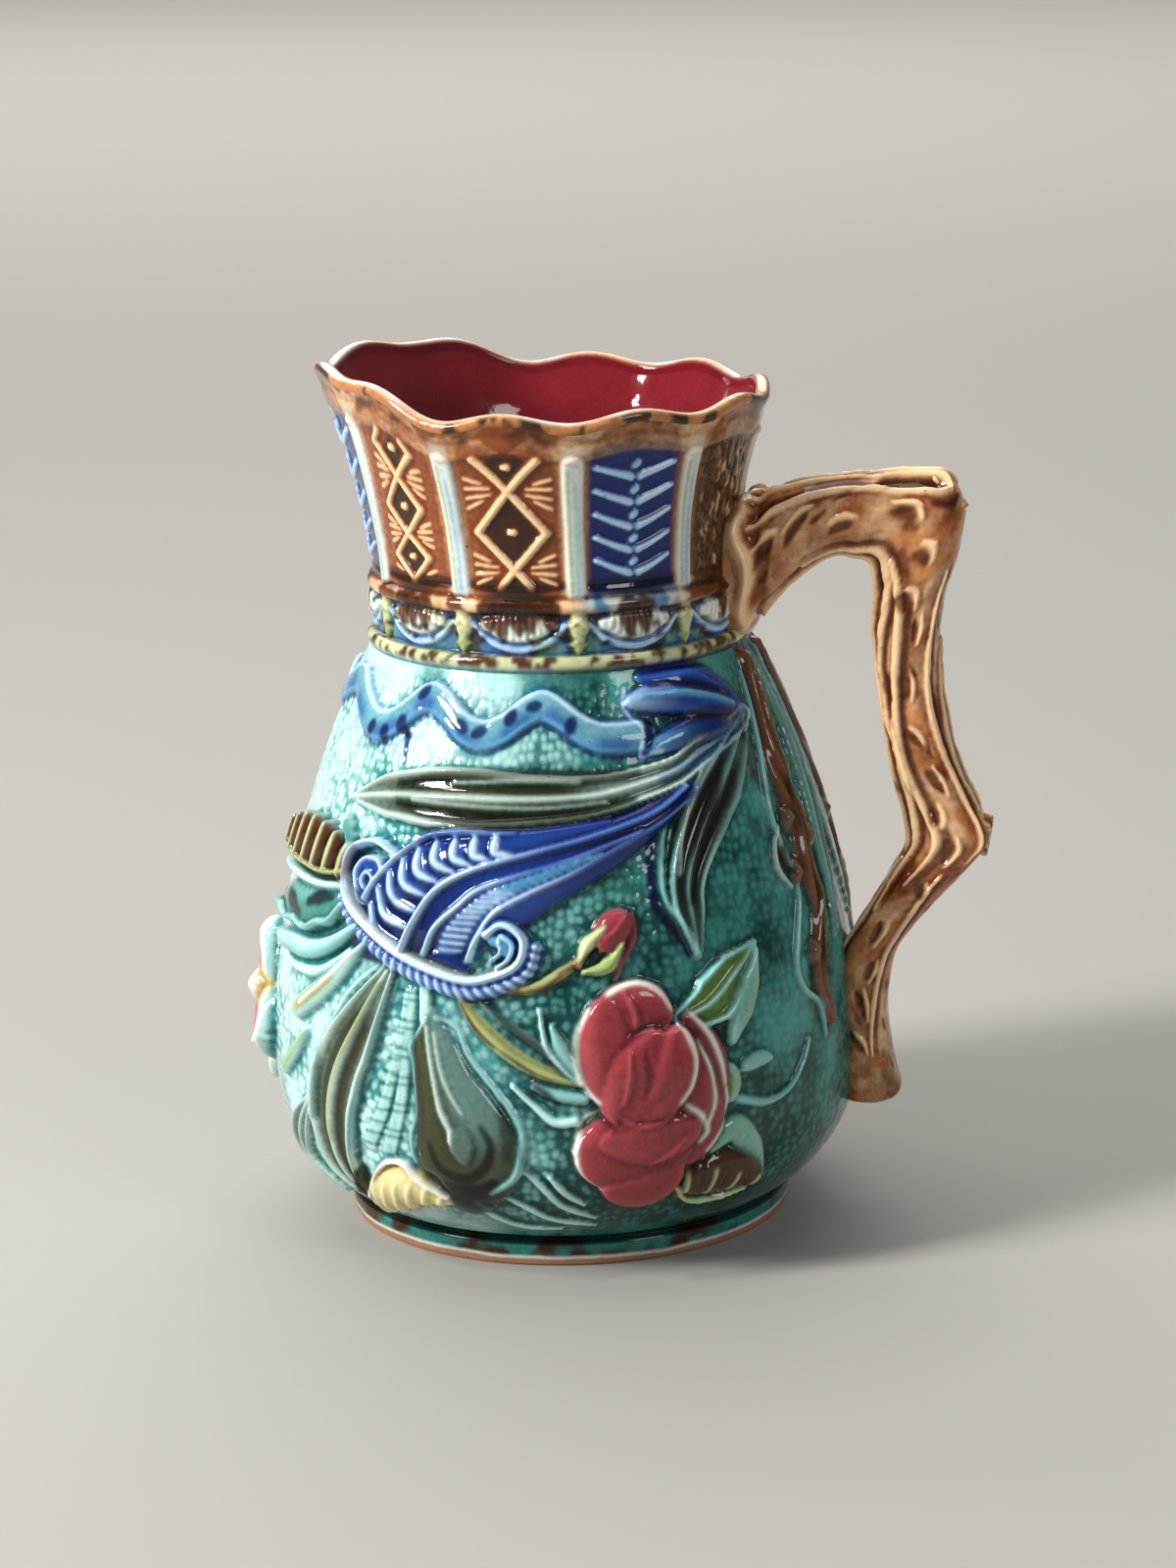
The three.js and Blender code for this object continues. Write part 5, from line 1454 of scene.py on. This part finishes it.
def sawn_twig(name, start, end, root_radius, end_radius, seed):
    start, end = np.array([start[0], 0, start[1]]), np.array([end[0], 0, end[1]])
    axis = (end - start) / np.linalg.norm(end - start)
    aside = np.cross(axis, [0, 1, 0])
    steps = np.concatenate([np.linspace(0, 1, 26), np.full(12, 1.0)])
    shares = np.concatenate([np.ones(26), np.linspace(0.94, 0.03, 12)])
    turn = np.linspace(0, 2 * math.pi, 96, endpoint=False)[None, :]
    length = np.linalg.norm(end - start)
    ridges = np.cos(7 * turn + 2.2 * np.sin(steps[:, None] * 5 + seed))
    x, y = turn * 60, steps[:, None] * length
    bark_rise = 0.45 * ridges + 0.5 * (clouds(x, y, 9, 171 + seed) - 0.5)
    radius = (root_radius + (end_radius - root_radius) * steps[:, None]) * shares[:, None]
    radius = radius + bark_rise * (shares[:, None] > 0.99)
    flare = 0.4 * smooth(steps[:, None], 0.75, 1) * (shares[:, None] > 0.9)
    growth_rings = 0.16 * np.cos(30 * shares[:, None]) * (shares[:, None] < 0.95)
    dish = -DISH_DEPTH * (1 - shares[:, None] ** 2) + growth_rings
    outward = np.cos(turn)[..., None] * aside + np.sin(turn)[..., None] * np.array([0, FLATNESS, 0])
    places = start + (steps[:, None] * length + dish)[..., None] * axis
    places = places + (radius + flare)[..., None] * outward
    mottle = clouds(x, y, 12, 181 + seed)
    sawn = 1 - smooth(shares[:, None], 0.72, 0.9)
    thin, deep = blend(blend("honey", "amber", smooth(mottle, 0.3, 0.6)), "brown", 0.85 * sawn)
    colours = {"thin": thin, "deep": 0.4 * deep + 0.6 * COLOURS["brown"][1],
               "pool": -bark_rise * 0.7 + 0.5 * (shares[:, None] < 0.9)}
    return grid_piece(name, places, grid_normals(places), colours, inside_out=True)


twig_start = (WAIST_RADIUS + 45, COLLAR_HEIGHT + 14)
twig_end = (WAIST_RADIUS + 52.6, COLLAR_HEIGHT + 21.6)
relief_pieces.append(sawn_twig("upper_twig", twig_start, twig_end, 6.4, 5.5, 1))
knob_start = (BELLY_RADIUS + 23, BELLY_HEIGHT + 54)
knob_end = (BELLY_RADIUS + 33.6, BELLY_HEIGHT + 52.3)
relief_pieces.append(sawn_twig("elbow_knob", knob_start, knob_end, 6.4, 4.4, 2))

# %% [markdown]
# ## Glaze material
#
# One material serves all the glazed pieces. It mixes the thin and the deep colour of each spot by how much
# glaze would pool there, breaks the edge between them with a fine noise, and adds brush streaks, a few
# pinholes and painted shade, nearly black, in the deepest places. The glassy coat over it reflects the
# light sharply, and it is what makes the surface read as glaze.

# %% Glaze material
def attribute(nodes, name):
    node = nodes.new("ShaderNodeAttribute")
    node.attribute_name = name
    return node


def noise(nodes, links, size_mm, detail, stretch=(1, 1, 1)):
    place = nodes.new("ShaderNodeTexCoord")
    mapping = nodes.new("ShaderNodeMapping")
    mapping.inputs["Scale"].default_value = stretch
    texture = nodes.new("ShaderNodeTexNoise")
    texture.inputs["Scale"].default_value = 1 / (size_mm * MM)
    texture.inputs["Detail"].default_value = detail
    links.new(place.outputs["Object"], mapping.inputs["Vector"])
    links.new(mapping.outputs["Vector"], texture.inputs["Vector"])
    return texture.outputs["Fac"]


def ramp(nodes, links, source, low_at, high_at, low_value=0.0, high_value=1.0):
    node = nodes.new("ShaderNodeMapRange")
    node.interpolation_type = "SMOOTHSTEP"
    for key, value in (("From Min", low_at), ("From Max", high_at), ("To Min", low_value),
                       ("To Max", high_value)):
        node.inputs[key].default_value = value
    links.new(source, node.inputs["Value"])
    return node.outputs["Result"]


def calculate(nodes, links, operation, first, second):
    node = nodes.new("ShaderNodeMath")
    node.operation = operation
    for socket, value in zip(node.inputs, (first, second)):
        if isinstance(value, (int, float)):
            socket.default_value = value
        else:
            links.new(value, socket)
    return node.outputs[0]


def mix(nodes, links, kind, factor, first, second):
    node = nodes.new("ShaderNodeMix")
    node.data_type = "RGBA"
    node.blend_type = kind
    for socket, value in ((node.inputs[0], factor), (node.inputs[6], first), (node.inputs[7], second)):
        if isinstance(value, (int, float)):
            socket.default_value = value
        elif isinstance(value, tuple):
            socket.default_value = (*value, 1)
        else:
            links.new(value, socket)
    return node.outputs[2]


STREAK_TINT, HOLLOW_SHADE, PINHOLE = (0.62, 0.66, 0.66), (0.022, 0.018, 0.012), (0.05, 0.035, 0.025)


def glaze_material(name, pool_start=-0.5, pool_end=0.6, bare=False):
    material = bpy.data.materials.new(name)
    material.use_nodes = True
    nodes, links = material.node_tree.nodes, material.node_tree.links
    shader = nodes["Principled BSDF"]
    thin, deep, pool = (attribute(nodes, key) for key in ("thin", "deep", "pool"))
    ragged = calculate(nodes, links, "MULTIPLY_ADD", noise(nodes, links, 1.4, 5), 0.5)
    ragged.node.inputs[2].default_value = -0.25
    depth_before = calculate(nodes, links, "ADD", pool.outputs["Fac"], ragged)
    depth = ramp(nodes, links, depth_before, pool_start, pool_end)
    colour = mix(nodes, links, "MIX", depth, thin.outputs["Color"], deep.outputs["Color"])
    streak = ramp(nodes, links, noise(nodes, links, 9, 3, (1, 1, 0.35)), 0.3, 0.75, 0.0, 0.34)
    colour = mix(nodes, links, "MULTIPLY", streak, colour, STREAK_TINT)
    # Painted shade: the deepest hollows are darkened to nearly black.
    hollow_shade = ramp(nodes, links, depth_before, 0.55, 1.0, 0.0, 0.7)
    colour = mix(nodes, links, "MIX", hollow_shade, colour, HOLLOW_SHADE)
    pin = ramp(nodes, links, noise(nodes, links, 1.1, 2), 0.735, 0.755)
    colour = mix(nodes, links, "MIX", pin, colour, PINHOLE)
    links.new(colour, shader.inputs["Base Color"])
    shader.inputs["Specular IOR Level"].default_value = 0.08
    shader.inputs["Coat Weight"].default_value = 0.6
    shader.inputs["Coat Roughness"].default_value = 0.03
    shader.inputs["Coat IOR"].default_value = 1.5
    gloss = ramp(nodes, links, noise(nodes, links, 6, 3), 0.3, 0.7, 0.1, 0.24)
    if bare:
        bare_share = attribute(nodes, "bare").outputs["Fac"]
        dull = ramp(nodes, links, bare_share, 0, 1, 0.1, 0.85)
        gloss = calculate(nodes, links, "MAXIMUM", gloss, dull)
        shader.inputs["Coat Weight"].default_value = 0.2
    links.new(gloss, shader.inputs["Roughness"])
    bump = nodes.new("ShaderNodeBump")
    bump.inputs["Strength"].default_value = 0.35
    bump.inputs["Distance"].default_value = 0.12 * MM
    links.new(noise(nodes, links, 2.2, 3), bump.inputs["Height"])
    links.new(bump.outputs["Normal"], shader.inputs["Normal"])
    links.new(bump.outputs["Normal"], shader.inputs["Coat Normal"])
    return material


glaze = glaze_material("majolica_glaze")
for piece in relief_pieces:
    piece.data.materials.append(glaze)
foot_piece.data.materials.append(glaze_material("glaze_and_bare_clay", bare=True))
print("the glaze is made of", len(glaze.node_tree.nodes), "nodes")

# %% [markdown]
# ## Floor and light
#
# The pitcher stands on a plain pale floor. Two soft lights on the left, like the panes of a window, give
# the glaze its highlights, one on the wall and one inside the mouth. A weaker one from the right keeps the
# shaded side readable, a wide one above softens the shadows, and the fifth lights the floor far behind.
# Colours are shown as they are, without the film-like softening that would wash the glazes out.

# %% Floor and light
FLOOR_REACH = 9.0
floor_mesh = bpy.data.meshes.new("floor")
corners = [(FLOOR_REACH * x, FLOOR_REACH * y, 0) for x, y in ((-1, -1), (1, -1), (1, 1), (-1, 1))]
floor_mesh.from_pydata(corners, [], [(0, 1, 2, 3)])
floor = bpy.data.objects.new("floor", floor_mesh)
bpy.context.scene.collection.objects.link(floor)
plaster = bpy.data.materials.new("pale_floor")
plaster.use_nodes = True
plaster.node_tree.nodes["Principled BSDF"].inputs["Base Color"].default_value = (0.355, 0.341, 0.317, 1)
plaster.node_tree.nodes["Principled BSDF"].inputs["Roughness"].default_value = 0.9
floor_mesh.materials.append(plaster)

world = bpy.data.worlds.new("room")
world.use_nodes = True
world.node_tree.nodes["Background"].inputs["Color"].default_value = (0.92, 0.96, 1.0, 1)
world.node_tree.nodes["Background"].inputs["Strength"].default_value = 0.2
bpy.context.scene.world = world
bpy.context.scene.view_settings.view_transform = "Standard"


def soft_light(name, place, size, power, colour, target=(0, 0, 0.11)):
    data = bpy.data.lights.new(name, "AREA")
    data.shape, data.size, data.size_y = "RECTANGLE", size[0], size[1]
    data.energy, data.color = power, colour
    light = bpy.data.objects.new(name, data)
    light.location = place
    aim = Vector(target) - Vector(place)
    light.rotation_euler = aim.to_track_quat("-Z", "Y").to_euler()
    bpy.context.scene.collection.objects.link(light)


soft_light("window", (-1.15, -0.85, 0.86), (0.32, 0.42), 32, (1.0, 0.99, 0.97))
soft_light("upper_pane", (-1.15, -0.85, 1.58), (0.28, 0.28), 12, (1.0, 0.99, 0.97))
soft_light("fill", (1.2, -0.9, 0.9), (0.45, 0.5), 6, (0.97, 0.98, 1.0))
soft_light("above", (-0.2, 0.4, 1.5), (1.4, 1.4), 12, (1.0, 0.98, 0.95))
soft_light("far", (-1.5, 3.6, 2.2), (5, 4), 175, (1.0, 0.98, 0.94), (-1.5, 3.8, 0))
print("five lights")
